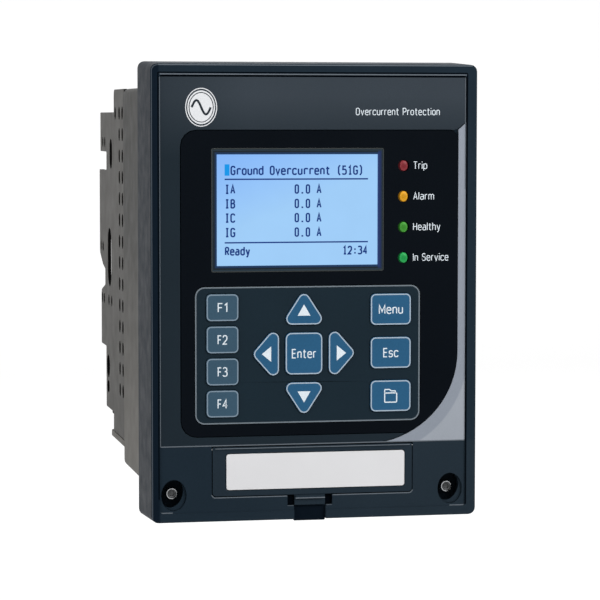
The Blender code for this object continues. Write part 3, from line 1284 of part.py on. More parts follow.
def cheek_outline():
    """Y and Z round the side plate, with the stepped and notched rear edge."""
    front = COLLAR_REAR + SEAM
    notch_top = CASE_REAR_TOP - NOTCH_DROP
    notch_bottom = notch_top - NOTCH_HEIGHT
    points = [
        (front, CASE_BOTTOM + SEAM, 0.0),
        (HEEL_Y, CASE_BOTTOM + SEAM, CHEEK_FILLET),
        (HEEL_Y, FOOT_Z, CHEEK_FILLET),
        (REAR_Y + EDGE_FOOT, FOOT_Z, CHEEK_FILLET),
        (REAR_Y + EDGE_FOOT, EDGE_LOWER_BOTTOM_Z, CHEEK_FILLET),
        (REAR_Y + EDGE_LOWER, EDGE_LOWER_BOTTOM_Z, CHEEK_FILLET),
        (REAR_Y + EDGE_LOWER, EDGE_LOWER_TOP_Z, CHEEK_CORNER),
        (REAR_Y + WAIST, WAIST_BOTTOM_Z, CHEEK_FILLET),
        (REAR_Y + WAIST, WAIST_TOP_Z, CHEEK_FILLET),
        (REAR_Y + SHOULDER, SHOULDER_Z, CHEEK_CORNER),
        (REAR_Y + EDGE_MIDDLE, EDGE_MIDDLE_Z, CHEEK_CORNER),
        (REAR_Y + EDGE_MIDDLE, notch_bottom, CHEEK_FILLET),
        (REAR_Y + NOTCH, notch_bottom, CHEEK_FILLET),
        (REAR_Y + NOTCH, notch_top, CHEEK_FILLET),
        (REAR_Y + EDGE_UPPER, notch_top, CHEEK_FILLET),
        (REAR_Y + EDGE_UPPER, CASE_REAR_TOP, CHEEK_FILLET),
        (CASE_STEP_Y, CASE_REAR_TOP, 0.0),
        (CASE_STEP_Y, COLLAR_TOP, CHEEK_CORNER),
        (front, COLLAR_TOP, 0.0),
    ]
    return rounded([p[:2] for p in points], [p[2] for p in points], 3)


def cheek_holes():
    """The small holes have eight corners each, since there are so many of them."""
    rows = [VENT_TOP_Z - i * VENT_PITCH for i in range(VENT_ROWS)]
    vents = [(COLLAR_REAR + y, z) for y in VENT_COLUMNS for z in rows]
    vents.append((COLLAR_REAR + VENT_EXTRA, rows[0]))
    holes = [centred(p, *VENT_SIZE, VENT_CORNER, 0.0, 1) for p in vents]
    for y, z in SMALL_SLOTS:
        holes.append(centred((REAR_Y + y, z), *SMALL_SLOT_SIZE, VENT_CORNER, 0.0, 1))
    for y, z, width, height in CHEEK_SLOTS:
        radius = min(width, height) / 2
        holes.append(centred((REAR_Y + y, z), width, height, radius, 0.0, SLOT_STEPS))
    return holes


def side_cheeks(build):
    outer = CASE_WIDTH / 2 - CHEEK_INSET
    outlines = [cheek_outline(), *cheek_holes()]
    build.plate("left_cheek", outlines, "X", -outer, CHEEK_THICKNESS, "case")
    build.plate(
        "right_cheek", outlines, "X", outer - CHEEK_THICKNESS, CHEEK_THICKNESS, "case"
    )


def inner_half():
    """Half the width between the cheeks, less the gap to them."""
    return CASE_WIDTH / 2 - CHEEK_INSET - CHEEK_THICKNESS - SEAM


def clear_half():
    """Half the width between the side flanges of the top and the base."""
    return inner_half() - SHEET - 2 * SEAM


def case_top(build):
    """A folded sheet between the cheeks, stepped down towards the rear, with a flange on each side."""
    high = COLLAR_TOP - TOP_CLEARANCE
    low = CASE_REAR_TOP - TOP_CLEARANCE
    rear = REAR_Y - SEAM
    step = CASE_STEP_Y - TOP_CLEARANCE

    def strip(upper, lower, first, last, riser):
        """The stepped section between two depths below the top's faces."""
        return [
            (first, high - upper),
            (first, high - lower),
            (step - riser, high - lower),
            (step - riser, low - lower),
            (last, low - lower),
            (last, low - upper),
            (step - upper, low - upper),
            (step - upper, high - upper),
        ]

    half = inner_half()
    section = strip(0.0, SHEET, COLLAR_REAR + SEAM, rear, SHEET)
    top = build.plate("case_top", [section], "X", -half, 2 * half, "case")
    first = COLLAR_REAR + COLLAR_TONGUE + SEAM
    flange = strip(SHEET / 2, FLANGE_HEIGHT, first, rear - SHEET, 2 * SHEET)
    for side in (-1, 1):
        start = -half + SEAM if side < 0 else half - SEAM - SHEET
        build.join(top, build.plate(f"top_flange_{side}", [flange], "X", start, SHEET))


def case_bottom(build):
    """The base plate, wider than the cheeks by a lip, with a flange inside each cheek."""
    half = CASE_WIDTH / 2
    front = COLLAR_REAR + SEAM
    outline = rounded(
        [(-half, front), (half, front), (half, BASE_REAR), (-half, BASE_REAR)],
        [0.0, 0.0, CHEEK_CORNER, CHEEK_CORNER],
    )
    base = build.plate(
        "case_bottom", [outline], "Z", CASE_BOTTOM - BASE_THICKNESS, BASE_THICKNESS, "case"
    )
    inner = inner_half()
    behind_tongue = COLLAR_REAR + COLLAR_TONGUE + SEAM
    for side in (-1, 1):
        start = -inner if side < 0 else inner - SHEET
        flange = build.box(
            f"base_flange_{side}",
            (start, start + SHEET),
            (behind_tongue, HEEL_Y - CHEEK_FILLET),
            (CASE_BOTTOM - BASE_THICKNESS / 2, CASE_BOTTOM + FLANGE_HEIGHT),
        )
        build.join(base, flange)


def rear_panel(build):
    """Closes the case: an upright sheet, with a foot that reaches forward to the base."""
    half = clear_half()
    top = CASE_REAR_TOP - TOP_CLEARANCE
    low = FOOT_Z + SEAM
    foot = CASE_BOTTOM + SEAM
    rear = REAR_Y + REAR_THICKNESS
    heel = HEEL_Y - CHEEK_FILLET - SHEET
    section = [
        (REAR_Y, top),
        (REAR_Y, low + SHEET),
        (heel, low + SHEET),
        (heel, foot),
        (heel + SHEET, foot),
        (heel + SHEET, low),
        (rear, low),
        (rear, top),
    ]
    panel = build.plate("rear_panel", [section], "X", -half, 2 * half, "case")
    for name, x in TERMINAL_X.items():
        width = TERMINAL_WIDTH - 2 * TERMINAL_FOOT_INSET + 2 * SEAM
        bottom = TERMINAL_TOP - TERMINAL_COUNT * TERMINAL_PITCH + TERMINAL_FOOT_INSET - SEAM
        hole = build.box(
            f"cut_{name}",
            (x - width / 2, x + width / 2),
            (REAR_Y - CUT_MARGIN, rear + CUT_MARGIN),
            (bottom, TERMINAL_TOP - TERMINAL_FOOT_INSET + SEAM),
        )
        build.cut(panel, hole)
    width, height = (side - 2 * COMM_INSET for side in COMM_BLOCK)
    reach = (REAR_Y - CUT_MARGIN, rear + CUT_MARGIN)
    x, z = COMM_CENTRE
    build.cut(
        panel,
        build.box(
            "cut_comm",
            (x - width / 2, x + width / 2),
            reach,
            (z - height / 2, z + height / 2),
        ),
        build.rod("cut_earth", EARTH_CENTRE, EARTH_RADIUS + SEAM, reach, sides=PIN_SIDES),
    )


def terminal_blocks(build):
    """Two columns of screw terminals: a deck of screws between ribs, and a ledge with the wire holes."""
    seat = REAR_Y + REAR_THICKNESS + SEAM
    for name, x in TERMINAL_X.items():
        outward = -1 if x < 0 else 1
        bottom = TERMINAL_TOP - TERMINAL_COUNT * TERMINAL_PITCH
        half = TERMINAL_WIDTH / 2
        block = build.box(
            name,
            (x - half, x + half),
            (seat, seat + TERMINAL_BASE),
            (bottom, TERMINAL_TOP),
            "terminal",
        )
        foot = build.box(
            f"{name}_foot",
            (x - half + TERMINAL_FOOT_INSET, x + half - TERMINAL_FOOT_INSET),
            (REAR_Y - TERMINAL_FOOT, seat + CUT_MARGIN),
            (bottom + TERMINAL_FOOT_INSET, TERMINAL_TOP - TERMINAL_FOOT_INSET),
        )
        inner = x - outward * half
        deck_end = inner + outward * TERMINAL_DECK
        deck = build.box(
            f"{name}_deck",
            (min(inner, deck_end), max(inner, deck_end)),
            (seat + TERMINAL_BASE / 2, seat + TERMINAL_BASE + TERMINAL_STEP),
            (bottom, TERMINAL_TOP),
        )
        build.join(block, foot, deck)
        deck_face = seat + TERMINAL_BASE + TERMINAL_STEP
        for i in range(TERMINAL_COUNT + 1):
            z = TERMINAL_TOP - i * TERMINAL_PITCH
            low = max(z - TERMINAL_RIB / 2, bottom)
            rib = build.box(
                f"{name}_rib_{i}",
                (x - half + SEAM, x + half - SEAM),
                (seat + TERMINAL_BASE / 2, deck_face + 2 * TERMINAL_SCREW_PROUD),
                (low, min(z + TERMINAL_RIB / 2, TERMINAL_TOP)),
            )
            build.join(block, rib)
        screw_x = inner + outward * TERMINAL_DECK / 2
        hole_x = deck_end + outward * (TERMINAL_WIDTH - TERMINAL_DECK) / 2
        for i in range(TERMINAL_COUNT):
            z = TERMINAL_TOP - (i + 0.5) * TERMINAL_PITCH
            head = build.rod(
                f"{name}_screw_{i}",
                (screw_x, z),
                TERMINAL_SCREW_RADIUS,
                (deck_face - TERMINAL_SCREW_PROUD, deck_face + TERMINAL_SCREW_PROUD),
                sides=8,
            )
            build.join(block, head)
            ledge = seat + TERMINAL_BASE
            hole = build.rod(
                f"{name}_wire_{i}",
                (hole_x, z),
                WIRE_HOLE_RADIUS,
                (ledge - WIRE_HOLE_DEPTH, ledge + CUT_MARGIN),
                sides=8,
            )
            build.cut(block, hole)


def communication_block(build):
    seat = REAR_Y + REAR_THICKNESS + SEAM
    x, z = COMM_CENTRE
    half_w, half_h = COMM_BLOCK[0] / 2, COMM_BLOCK[1] / 2
    block = build.box(
        "communication_block",
        (x - half_w, x + half_w),
        (seat, seat + COMM_LENGTH),
        (z - half_h, z + half_h),
        "terminal",
    )
    inset = COMM_INSET + SEAM
    foot = build.box(
        "communication_foot",
        (x - half_w + inset, x + half_w - inset),
        (REAR_Y - TERMINAL_FOOT, seat + CUT_MARGIN),
        (z - half_h + inset, z + half_h - inset),
    )
    build.join(block, foot)
    pitch = COMM_BLOCK[0] / COMM_POLES
    for i in range(COMM_POLES):
        place = x + (i - (COMM_POLES - 1) / 2) * pitch
        for row in (-1, 1):
            hole = build.rod(
                f"cut_comm_{i}_{row}",
                (place, z + row * half_h / 2),
                COMM_HOLE_RADIUS,
                (seat + COMM_LENGTH - COMM_HOLE_DEPTH, seat + COMM_LENGTH + CUT_MARGIN),
                sides=8,
            )
            build.cut(block, hole)


def earth_terminal(build):
    seat = REAR_Y + REAR_THICKNESS + SEAM
    x, z = EARTH_CENTRE
    front = REAR_Y - SEAM
    length = seat + EARTH_LENGTH - front
    stud = [
        (0.0, EARTH_HEAD_HEIGHT),
        (EARTH_HEAD_RADIUS, EARTH_HEAD_HEIGHT),
        (EARTH_HEAD_RADIUS, 0.0),
        (EARTH_RADIUS, 0.0),
        (EARTH_RADIUS, -length),
        (0.0, -length),
    ]
    build.turned("earth_stud", stud, (x, front, z), "brass", PIN_SIDES)
    bore = circle(EARTH_CENTRE, EARTH_RADIUS + SEAM, PIN_SIDES)
    washer = [circle(EARTH_CENTRE, EARTH_HEAD_RADIUS), bore]
    build.plate("earth_washer", washer, "Y", seat, EARTH_WASHER, "brass")
    nut = [circle(EARTH_CENTRE, EARTH_NUT_RADIUS, 6), bore]
    start = seat + EARTH_WASHER + SEAM
    build.plate("earth_nut", nut, "Y", start, EARTH_NUT_HEIGHT, "brass")


# Inside


def backplane(build):
    face = REAR_Y - TERMINAL_FOOT - SEAM - BACKPLANE_THICKNESS
    half = clear_half()
    top = CASE_REAR_TOP - TOP_CLEARANCE - SHEET - SEAM
    build.box(
        "backplane_board",
        (-half, half),
        (face, face + BACKPLANE_THICKNESS),
        (FOOT_Z + 2 * SHEET, top),
        "board",
    )
    return face


def cards(build, backplane_face):
    """Upright cards that plug into the backplane, each with its largest components."""
    rear = backplane_face - SEAM
    heel = HEEL_Y - CHEEK_FILLET - SHEET - SEAM
    low = CASE_BOTTOM + SHEET + 2 * SEAM + SHEET
    foot = FOOT_Z + SHEET + SEAM
    socket = FRONT + BOARD_DEPTH + BOARD_THICKNESS + BOARD_SOCKET_DEPTH
    top = CASE_REAR_TOP - CARD_DROP
    for name, x in CARD_X.items():
        front = socket + SEAM if name == "main_board" else CARD_FRONT
        outline = [
            (front, low),
            (heel, low),
            (heel, foot),
            (rear, foot),
            (rear, top),
            (front, top),
        ]
        card = build.plate(name, [outline], "X", x, CARD_THICKNESS, "board")
        for i, (y0, y1, z0, z1, height) in enumerate(CARD_COMPONENTS[name]):
            block = build.box(
                f"{name}_component_{i}",
                (x + CARD_THICKNESS / 2, x + CARD_THICKNESS + height),
                (y0, y1),
                (z0, z1),
            )
            build.join(card, block)


def transformers(build):
    """The input transformers, each a core with a coil whose former stands on the main board."""
    width, depth, height = TRANSFORMER_SIZE
    board_x = CARD_X["main_board"] - SEAM
    left = -CASE_WIDTH / 2 + TRANSFORMER_INSET
    y = CASE_STEP_Y - TRANSFORMER_AHEAD - depth / 2
    for i in range(TRANSFORMER_COUNT):
        z = CASE_BOTTOM + TRANSFORMER_LIFT + height / 2 + i * (height + TRANSFORMER_GAP)
        core = build.box(
            f"input_transformer_{i + 1}",
            (left, left + width),
            (y - depth / 2, y + depth / 2),
            (z - height / 2, z + height / 2),
            "core",
        )
        coil = build.box(
            f"transformer_coil_{i}",
            (left + CUT_MARGIN, board_x),
            (y - TRANSFORMER_COIL / 2, y + TRANSFORMER_COIL / 2),
            (z - TRANSFORMER_COIL / 2, z + TRANSFORMER_COIL / 2),
        )
        build.join(core, coil)


def main():
    clear_scene()
    build = Builder()
    front_bezel(build)
    overlay_and_window(build)
    display(build)
    lamps(build)
    keypad(build)
    front_board(build)
    label_door(build)
    hinge_pins(build)
    service_port(build)
    front_screws(build)
    bezel_screws(build)
    case_collar(build)
    side_cheeks(build)
    case_top(build)
    case_bottom(build)
    rear_panel(build)
    terminal_blocks(build)
    communication_block(build)
    earth_terminal(build)
    cards(build, backplane(build))
    transformers(build)


main()
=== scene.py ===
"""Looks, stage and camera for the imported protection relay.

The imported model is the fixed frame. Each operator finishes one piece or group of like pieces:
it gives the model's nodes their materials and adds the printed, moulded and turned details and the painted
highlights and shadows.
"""

import json
import math

import bmesh
import bpy
from mathutils import Matrix, Quaternion, Vector

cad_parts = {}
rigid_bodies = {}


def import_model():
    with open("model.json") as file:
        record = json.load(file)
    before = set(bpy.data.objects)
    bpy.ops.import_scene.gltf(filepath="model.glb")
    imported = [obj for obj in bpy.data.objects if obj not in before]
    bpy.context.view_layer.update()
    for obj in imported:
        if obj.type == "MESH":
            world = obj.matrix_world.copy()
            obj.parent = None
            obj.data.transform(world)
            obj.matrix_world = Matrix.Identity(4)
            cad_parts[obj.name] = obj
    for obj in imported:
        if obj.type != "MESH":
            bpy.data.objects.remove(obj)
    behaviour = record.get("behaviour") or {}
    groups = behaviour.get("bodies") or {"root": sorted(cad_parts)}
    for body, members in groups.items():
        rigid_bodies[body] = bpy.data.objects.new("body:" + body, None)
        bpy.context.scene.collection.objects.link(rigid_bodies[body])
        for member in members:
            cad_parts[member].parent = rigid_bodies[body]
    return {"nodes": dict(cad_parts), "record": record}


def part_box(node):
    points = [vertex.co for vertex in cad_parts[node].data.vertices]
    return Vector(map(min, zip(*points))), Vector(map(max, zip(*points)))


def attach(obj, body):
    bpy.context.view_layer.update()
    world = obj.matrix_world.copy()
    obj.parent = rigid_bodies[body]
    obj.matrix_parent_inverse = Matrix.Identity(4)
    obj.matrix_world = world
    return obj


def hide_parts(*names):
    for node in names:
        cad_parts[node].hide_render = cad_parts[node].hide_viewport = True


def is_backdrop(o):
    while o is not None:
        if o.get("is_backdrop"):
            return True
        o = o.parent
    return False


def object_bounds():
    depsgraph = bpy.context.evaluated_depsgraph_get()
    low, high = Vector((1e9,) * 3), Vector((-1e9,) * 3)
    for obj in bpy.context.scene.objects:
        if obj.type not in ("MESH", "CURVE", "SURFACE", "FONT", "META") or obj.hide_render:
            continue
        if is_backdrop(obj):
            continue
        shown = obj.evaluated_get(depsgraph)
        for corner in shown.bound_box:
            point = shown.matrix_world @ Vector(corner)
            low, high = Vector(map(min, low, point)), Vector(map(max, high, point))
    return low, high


for leftover in list(bpy.data.objects):
    bpy.data.objects.remove(leftover)
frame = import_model()

bl_info = {
    "name": "Protection relay",
    "version": (1, 0, 0),
    "blender": (4, 5, 0),
    "location": "3D Viewport > Sidebar > Relay",
    "description": "Finishes a panel-mounted protection relay piece by piece",
    "category": "Object",
}

MM = 0.001
NODES = frame["nodes"]
HOUSING = "housing"


# Settings


def shade(red, green, blue):
    """A colour given as it looks on screen, 0 to 255, in linear light."""
    levels = [value / 255 for value in (red, green, blue)]
    return tuple(v / 12.92 if v <= 0.04045 else ((v + 0.055) / 1.055) ** 2.4 for v in levels)


def colour(name, description, on_screen):
    return bpy.props.FloatVectorProperty(
        name=name,
        description=description,
        subtype="COLOR",
        size=3,
        min=0.0,
        max=1.0,
        default=shade(*on_screen),
    )


def length(name, description, millimetres):
    return bpy.props.FloatProperty(
        name=name,
        description=description,
        subtype="DISTANCE",
        unit="LENGTH",
        min=0.0,
        precision=5,
        default=millimetres * MM,
    )


class RelayColours(bpy.types.PropertyGroup):
    """Colours of the relay's finishes"""

    bezel: colour("Bezel", "Moulded bezel, label door and latch", (30, 42, 52))
    # Painted shade: a darker colour for the bezel's left border and side, where less light falls.
    bezel_left_shade: colour("Bezel left", "The bezel's left border and side", (14, 25, 36))
    # Also used for the painted light on the bezel's lower border.
    door: colour("Door", "Moulded label door", (36, 47, 56))
    # Painted highlight on the bezel's top.
    bezel_top_highlight: colour("Bezel top", "The bezel's top, which catches the light", (138, 142, 147))
    overlay: colour("Overlay", "Printed film of the lower borders", (25, 36, 44))
    # Painted light: the header colour is the film painted lighter where more light falls on its upper right.
    header: colour("Header", "Printed film of the header", (53, 61, 69))
    # Painted highlights: light and dim lines laid along edges in place of the light they catch.
    edge_highlight: colour("Edge light", "Polished edges that catch the light", (98, 106, 114))
    edge_dim_highlight: colour("Edge dim", "Polished edges in weaker light", (66, 75, 84))
    groove_shadow: colour("Groove", "Shadow gaps round the field and door", (6, 11, 17))
    window: colour("Window", "Dark window round the display and keypad", (9, 14, 20))
    trim: colour("Trim", "Silver strip beside the window", (152, 158, 167))
    trim_band: colour("Trim band", "Darker band that follows the window", (136, 143, 154))
    display: colour("Display", "Lit part of the display", (160, 206, 249))
    display_edge: colour("Display edge", "Lit part towards its upper left", (133, 183, 251))
    display_ink: colour("Display ink", "Characters on the display", (24, 58, 128))
    cursor: colour("Cursor", "Cursor block on the display", (20, 150, 232))
    display_frame: colour("Display frame", "Frame round the display", (17, 27, 34))
    # Painted highlight round the display frame.
    display_surround_highlight: colour("Display surround", "Thin edge round the frame", (48, 53, 54))
    display_glow: colour("Display glow", "Backlight in the display's frame", (8, 46, 90))
    display_glow_right: colour("Display glow right", "Backlight at the frame's right", (30, 50, 118))
    keypad: colour("Keypad", "Plate that the keys stand in", (24, 38, 47))
    keypad_line: colour("Keypad line", "Printed line round the keypad", (112, 122, 130))
    function_key: colour("Function keys", "Keys F1 to F4", (58, 84, 102))
    key: colour("Keys", "Menu, arrow and enter keys", (42, 90, 125))
    function_line: colour("Function key line", "Outline of keys F1 to F4", (124, 142, 157))
    key_line: colour("Key line", "Outline of the other keys", (166, 182, 197))
    legend: colour("Legend", "White print on the keys and window", (224, 233, 240))
    symbol: colour("Symbol", "White disc in the header", (226, 228, 231))
    label: colour("Label", "Label plate in the door", (222, 222, 224))
    case: colour("Case", "Painted steel of the case", (76, 76, 75))
    case_low: colour("Case low", "Painted steel low on the case", (112, 110, 106))
    cheek: colour("Cheek", "Painted steel of the side cheeks", (98, 97, 95))
    # Painted shade: the cheeks' lower colour is darker for the light that falls off down the side.
    cheek_low_shade: colour("Cheek low", "Painted steel low on the cheeks", (88, 87, 85))
    # Painted shadow: a near-black colour for the sheets behind the vents and for the slot walls, standing in
    # for the shade inside the case.
    vent_shade: colour("Liner", "Insulating sheet inside the case", (9, 9, 10))
    steel: colour("Steel", "Plated screws, pins and shells", (176, 178, 180))
    brass: colour("Brass", "Earth stud, nut and washer", (196, 164, 96))
    terminal: colour("Terminal", "Moulded terminal blocks", (26, 28, 30))
    board: colour("Board", "Solder mask of the circuit boards", (20, 74, 44))
    core: colour("Core", "Laminated transformer cores", (58, 56, 54))
    lamp_trip: colour("Trip lamp", "Lens of the trip lamp", (127, 39, 46))
    lamp_alarm: colour("Alarm lamp", "Lens of the alarm lamp", (215, 152, 22))
    lamp_healthy: colour("Healthy lamp", "Lens of the healthy lamp", (58, 140, 42))
    lamp_in_service: colour("In service lamp", "Lens of the in service lamp", (26, 154, 74))


class RelaySizes(bpy.types.PropertyGroup):
    """Sizes of the relay's printed and softened details"""

    edge: length("Edge", "Rounding of moulded edges", 0.22)
    round_share: bpy.props.FloatProperty(
        name="Round share",
        description="Width of the lenses and the symbol as a share of their height",
        default=0.83,
    )
    lens_share: bpy.props.FloatProperty(
        name="Lens share",
        description="Width of the lamp lenses as a share of their height",
        default=0.77,
    )
    print_height: length("Print height", "How far print stands proud", 0.03)
    key_line: length("Key line", "Width of the outline of a key", 0.46)
    keypad_line: length("Keypad line", "Width of the keypad's line", 0.5)
    key_letter: length("Key letters", "Height of capitals on the keys", 3.7)
    lamp_letter: length("Lamp letters", "Height of capitals beside the lamps", 3.0)
    title_letter: length("Title letters", "Height of capitals in the header", 2.9)
    key_stroke: length("Key stroke", "Line width of the letters on the keys", 0.43)
    lamp_stroke: length("Lamp stroke", "Line width of the letters beside the lamps", 0.3)
    title_stroke: length("Title stroke", "Line width of the letters in the header", 0.3)
    screen_letter: length("Display letters", "Height of capitals on the display", 3.7)
    screen_pitch: length("Display pitch", "Distance between characters", 2.2)
    screen_stroke: length("Display stroke", "Line width of the characters", 0.6)


class RelayStudio(bpy.types.PropertyGroup):
    """Camera and light of the stage"""

    azimuth: bpy.props.FloatProperty(
        name="Azimuth",
        description="How far the camera stands to the side",
        subtype="ANGLE",
        default=math.radians(-11.346),
    )
    elevation: bpy.props.FloatProperty(
        name="Elevation",
        description="How far the camera looks down",
        subtype="ANGLE",
        default=math.radians(3.987),
    )
    roll: bpy.props.FloatProperty(
        name="Roll",
        description="How far the camera is turned about its own axis",
        subtype="ANGLE",
        default=math.radians(0.04),
    )
    distance: length("Distance", "From the camera to its target", 1016.6)
    focal_length: bpy.props.FloatProperty(
        name="Focal length",
        description="Focal length of the lens on a 36 mm sensor",
        unit="CAMERA",
        default=157.165,
    )
    floor_drop: length("Floor", "From the object down to the floor", 80.0)
    key_power: bpy.props.FloatProperty(
        name="Key light", description="Power of the key light", unit="POWER", default=10.0
    )
    fill_power: bpy.props.FloatProperty(
        name="Fill light", description="Power of the fill light", unit="POWER", default=4.2
    )
    top_power: bpy.props.FloatProperty(
        name="Top light", description="Power of the overhead light", unit="POWER", default=5.0
    )
    ambient: bpy.props.FloatProperty(
        name="Ambient", description="Level of the surrounding light", default=0.63
    )


# Finishes


class Finish:
    """One finish as a node material whose patterns are fixed to the piece."""

    def __init__(self, name, roughness=0.5, metallic=0.0, specular=0.5, coat=0.0):
        self.material = bpy.data.materials.new(name)
        self.material.use_nodes = True
        self.tree = self.material.node_tree
        self.tree.nodes.clear()
        self.roughness = roughness
        self.shader = self.node(
            "ShaderNodeBsdfPrincipled",
            {
                "Metallic": metallic,
                "Roughness": roughness,
                "Specular IOR Level": specular,
                "Coat Weight": coat,
                "Coat Roughness": 0.12,
            },
        )
        output = self.node("ShaderNodeOutputMaterial")
        self.feed(output.inputs["Surface"], self.shader.outputs["BSDF"])
        self.place = self.node("ShaderNodeTexCoord").outputs["Object"]
        self.axes = self.node("ShaderNodeSeparateXYZ", {"Vector": self.place}).outputs

    def node(self, kind, inputs=None, **settings):
        made = self.tree.nodes.new(kind)
        for key, value in settings.items():
            setattr(made, key, value)
        for key, value in (inputs or {}).items():
            self.feed(made.inputs[key], value)
        return made

    def feed(self, socket, value):
        if isinstance(value, bpy.types.NodeSocket):
            self.tree.links.new(value, socket)
        elif socket.type == "RGBA":
            socket.default_value = (*value[:3], 1.0)
        else:
            socket.default_value = value

    def calculate(self, operation, first, second=0.0, third=0.0):
        inputs = {0: first, 1: second, 2: third}
        return self.node("ShaderNodeMath", inputs, operation=operation).outputs[0]

    def between(self, value, low, high, first=0.0, last=1.0):
        inputs = {"Value": value, "From Min": low, "From Max": high}
        inputs.update({"To Min": first, "To Max": last})
        return self.node("ShaderNodeMapRange", inputs).outputs["Result"]

    def mix(self, share, first, second):
        inputs = {0: share, 6: first, 7: second}
        return self.node("ShaderNodeMix", inputs, data_type="RGBA").outputs[2]

    def noise(self, size, detail=2.0, stretch=None):
        vector = self.place
        if stretch:
            inputs = {"Vector": vector, "Scale": stretch}
            vector = self.node("ShaderNodeMapping", inputs).outputs["Vector"]
        inputs = {"Vector": vector, "Scale": 1.0 / size, "Detail": detail}
        return self.node("ShaderNodeTexNoise", inputs).outputs["Fac"]

    def varied(self, tint, change, speck, drift):
        """The tint with fine specks and wide clouds, each a small step lighter or darker."""
        fine = self.calculate("MULTIPLY", self.noise(speck, 3.0), 0.5)
        wide = self.calculate("MULTIPLY_ADD", self.noise(drift, 1.0), 0.5, fine)
        share = self.between(wide, 0.32, 0.68)
        first = tuple(v * (1 - change) for v in tint)
        second = tuple(min(1.0, v * (1 + change)) for v in tint)
        return self.mix(share, first, second)

    def paint(self, tint):
        self.feed(self.shader.inputs["Base Color"], tint)

    def glow(self, tint, strength=1.0):
        self.feed(self.shader.inputs["Emission Color"], tint)
        self.feed(self.shader.inputs["Emission Strength"], strength)

    def worn(self, size, change):
        """Roughness that changes a little from place to place."""
        low, high = self.roughness - change, self.roughness + change
        share = self.between(self.noise(size, 3.0), 0.3, 0.7, low, high)
        self.feed(self.shader.inputs["Roughness"], share)

    def grain(self, size, height, detail=2.0, stretch=None):
        """Fine relief, with height as its depth."""
        inputs = {"Height": self.noise(size, detail, stretch), "Distance": height}
        bump = self.node("ShaderNodeBump", inputs)
        self.feed(self.shader.inputs["Normal"], bump.outputs["Normal"])


def moulded(name, tint, roughness=0.5, specular=0.12, grain=0.35 * MM, height=0.02 * MM):
    """Spark-textured moulded plastic."""
    finish = Finish(name, roughness, specular=specular)
    finish.paint(finish.varied(tint, 0.09, 0.8 * MM, 30 * MM))
    finish.worn(6 * MM, 0.05)
    finish.grain(grain, height)
    return finish


def printed(name, tint, roughness=0.45):
    """Screen print, with a slight change of density. It also makes the painted highlights along edges."""
    finish = Finish(name, roughness, specular=0.15)
    finish.paint(finish.varied(tint, 0.03, 0.4 * MM, 8 * MM))
    finish.worn(2 * MM, 0.04)
    finish.grain(0.3 * MM, 0.004 * MM)
    return finish


def plated(name, tint, roughness=0.3, stretch=None):
    """Plated or bare metal with fine turning or rolling marks."""
    finish = Finish(name, roughness, metallic=1.0)
    finish.paint(finish.varied(tint, 0.1, 0.5 * MM, 9 * MM))
    finish.worn(1.5 * MM, 0.08)
    finish.grain(0.25 * MM, 0.006 * MM, stretch=stretch)
    return finish


def dress(name, finish, edge=0.0):
    """Gives a node of the model its finish, and softens its edges by a modifier."""
    node = NODES[name]
    node.material_slots[0].material = finish.material
    join = node.modifiers.new("Joined faces", "NODES")
    join.node_group = smooth_faces()
    flat = node.modifiers.new("Flat faces", "DECIMATE")
    flat.decimate_type = "DISSOLVE"
    flat.angle_limit = math.radians(0.3)
    if edge:
        soft = node.modifiers.new("Soft edges", "BEVEL")
        soft.width = edge
        soft.segments = 2
        soft.limit_method = "ANGLE"
        soft.angle_limit = math.radians(32)
    even = node.modifiers.new("Even shading", "WEIGHTED_NORMAL")
    even.keep_sharp = not edge
    return node


def smooth_faces():
    """Nodes that join the loaded faces at their shared points and shade them smooth."""
    group = bpy.data.node_groups.get("Smooth faces")
    if group:
        return group
    group = bpy.data.node_groups.new("Smooth faces", "GeometryNodeTree")
    for way in ("INPUT", "OUTPUT"):
        group.interface.new_socket("Geometry", in_out=way, socket_type="NodeSocketGeometry")
    kinds = (
        "NodeGroupInput",
        "GeometryNodeMergeByDistance",
        "GeometryNodeSetShadeSmooth",
        "NodeGroupOutput",
    )
    chain = [group.nodes.new(kind) for kind in kinds]
    chain[1].inputs["Distance"].default_value = 0.002 * MM
    for first, second in zip(chain, chain[1:]):
        group.links.new(first.outputs[0], second.inputs[0])
    return group


# Shapes


def rounded(corners, closed=True, steps=6):
    """The line through corners (x, z, radius), with each corner rounded to its radius."""
    line = []
    for i, (x, z, radius) in enumerate(corners):
        corner = Vector((x, z))
        ends = not closed and i in (0, len(corners) - 1)
        if radius <= 0 or ends:
            line.append(corner)
            continue
        before = (Vector(corners[i - 1][:2]) - corner).normalized()
        after = (Vector(corners[(i + 1) % len(corners)][:2]) - corner).normalized()
        half = before.angle(after) / 2
        centre = corner + (before + after).normalized() * (radius / math.sin(half))
        start = corner + before * (radius / math.tan(half)) - centre
        turn = start.angle_signed(corner + after * (radius / math.tan(half)) - centre)
        for step in range(steps + 1):
            line.append(centre + Matrix.Rotation(-turn * step / steps, 2) @ start)
    return [(p.x, p.y) for p in line]


def rectangle(left, right, bottom, top, radius=0.0):
    corners = ((left, bottom), (right, bottom), (right, top), (left, top))
    return rounded([(x, z, radius) for x, z in corners])


def oval(centre, radius, share, sides=72):
    """A ring of points with the radius as half its height, and its width a share of that."""
    turns = [2 * math.pi * i / sides for i in range(sides)]
    wide = radius * share
    return [(centre[0] + wide * math.cos(t), centre[1] + radius * math.sin(t)) for t in turns]


def triangle(centre, base, height, turn, radius=0.0):
    corners = [(-base / 2, -height / 2), (base / 2, -height / 2), (0.0, height / 2)]
    spun = [Matrix.Rotation(turn, 2) @ Vector(c) + Vector(centre) for c in corners]
    return rounded([(p.x, p.y, radius) for p in spun])


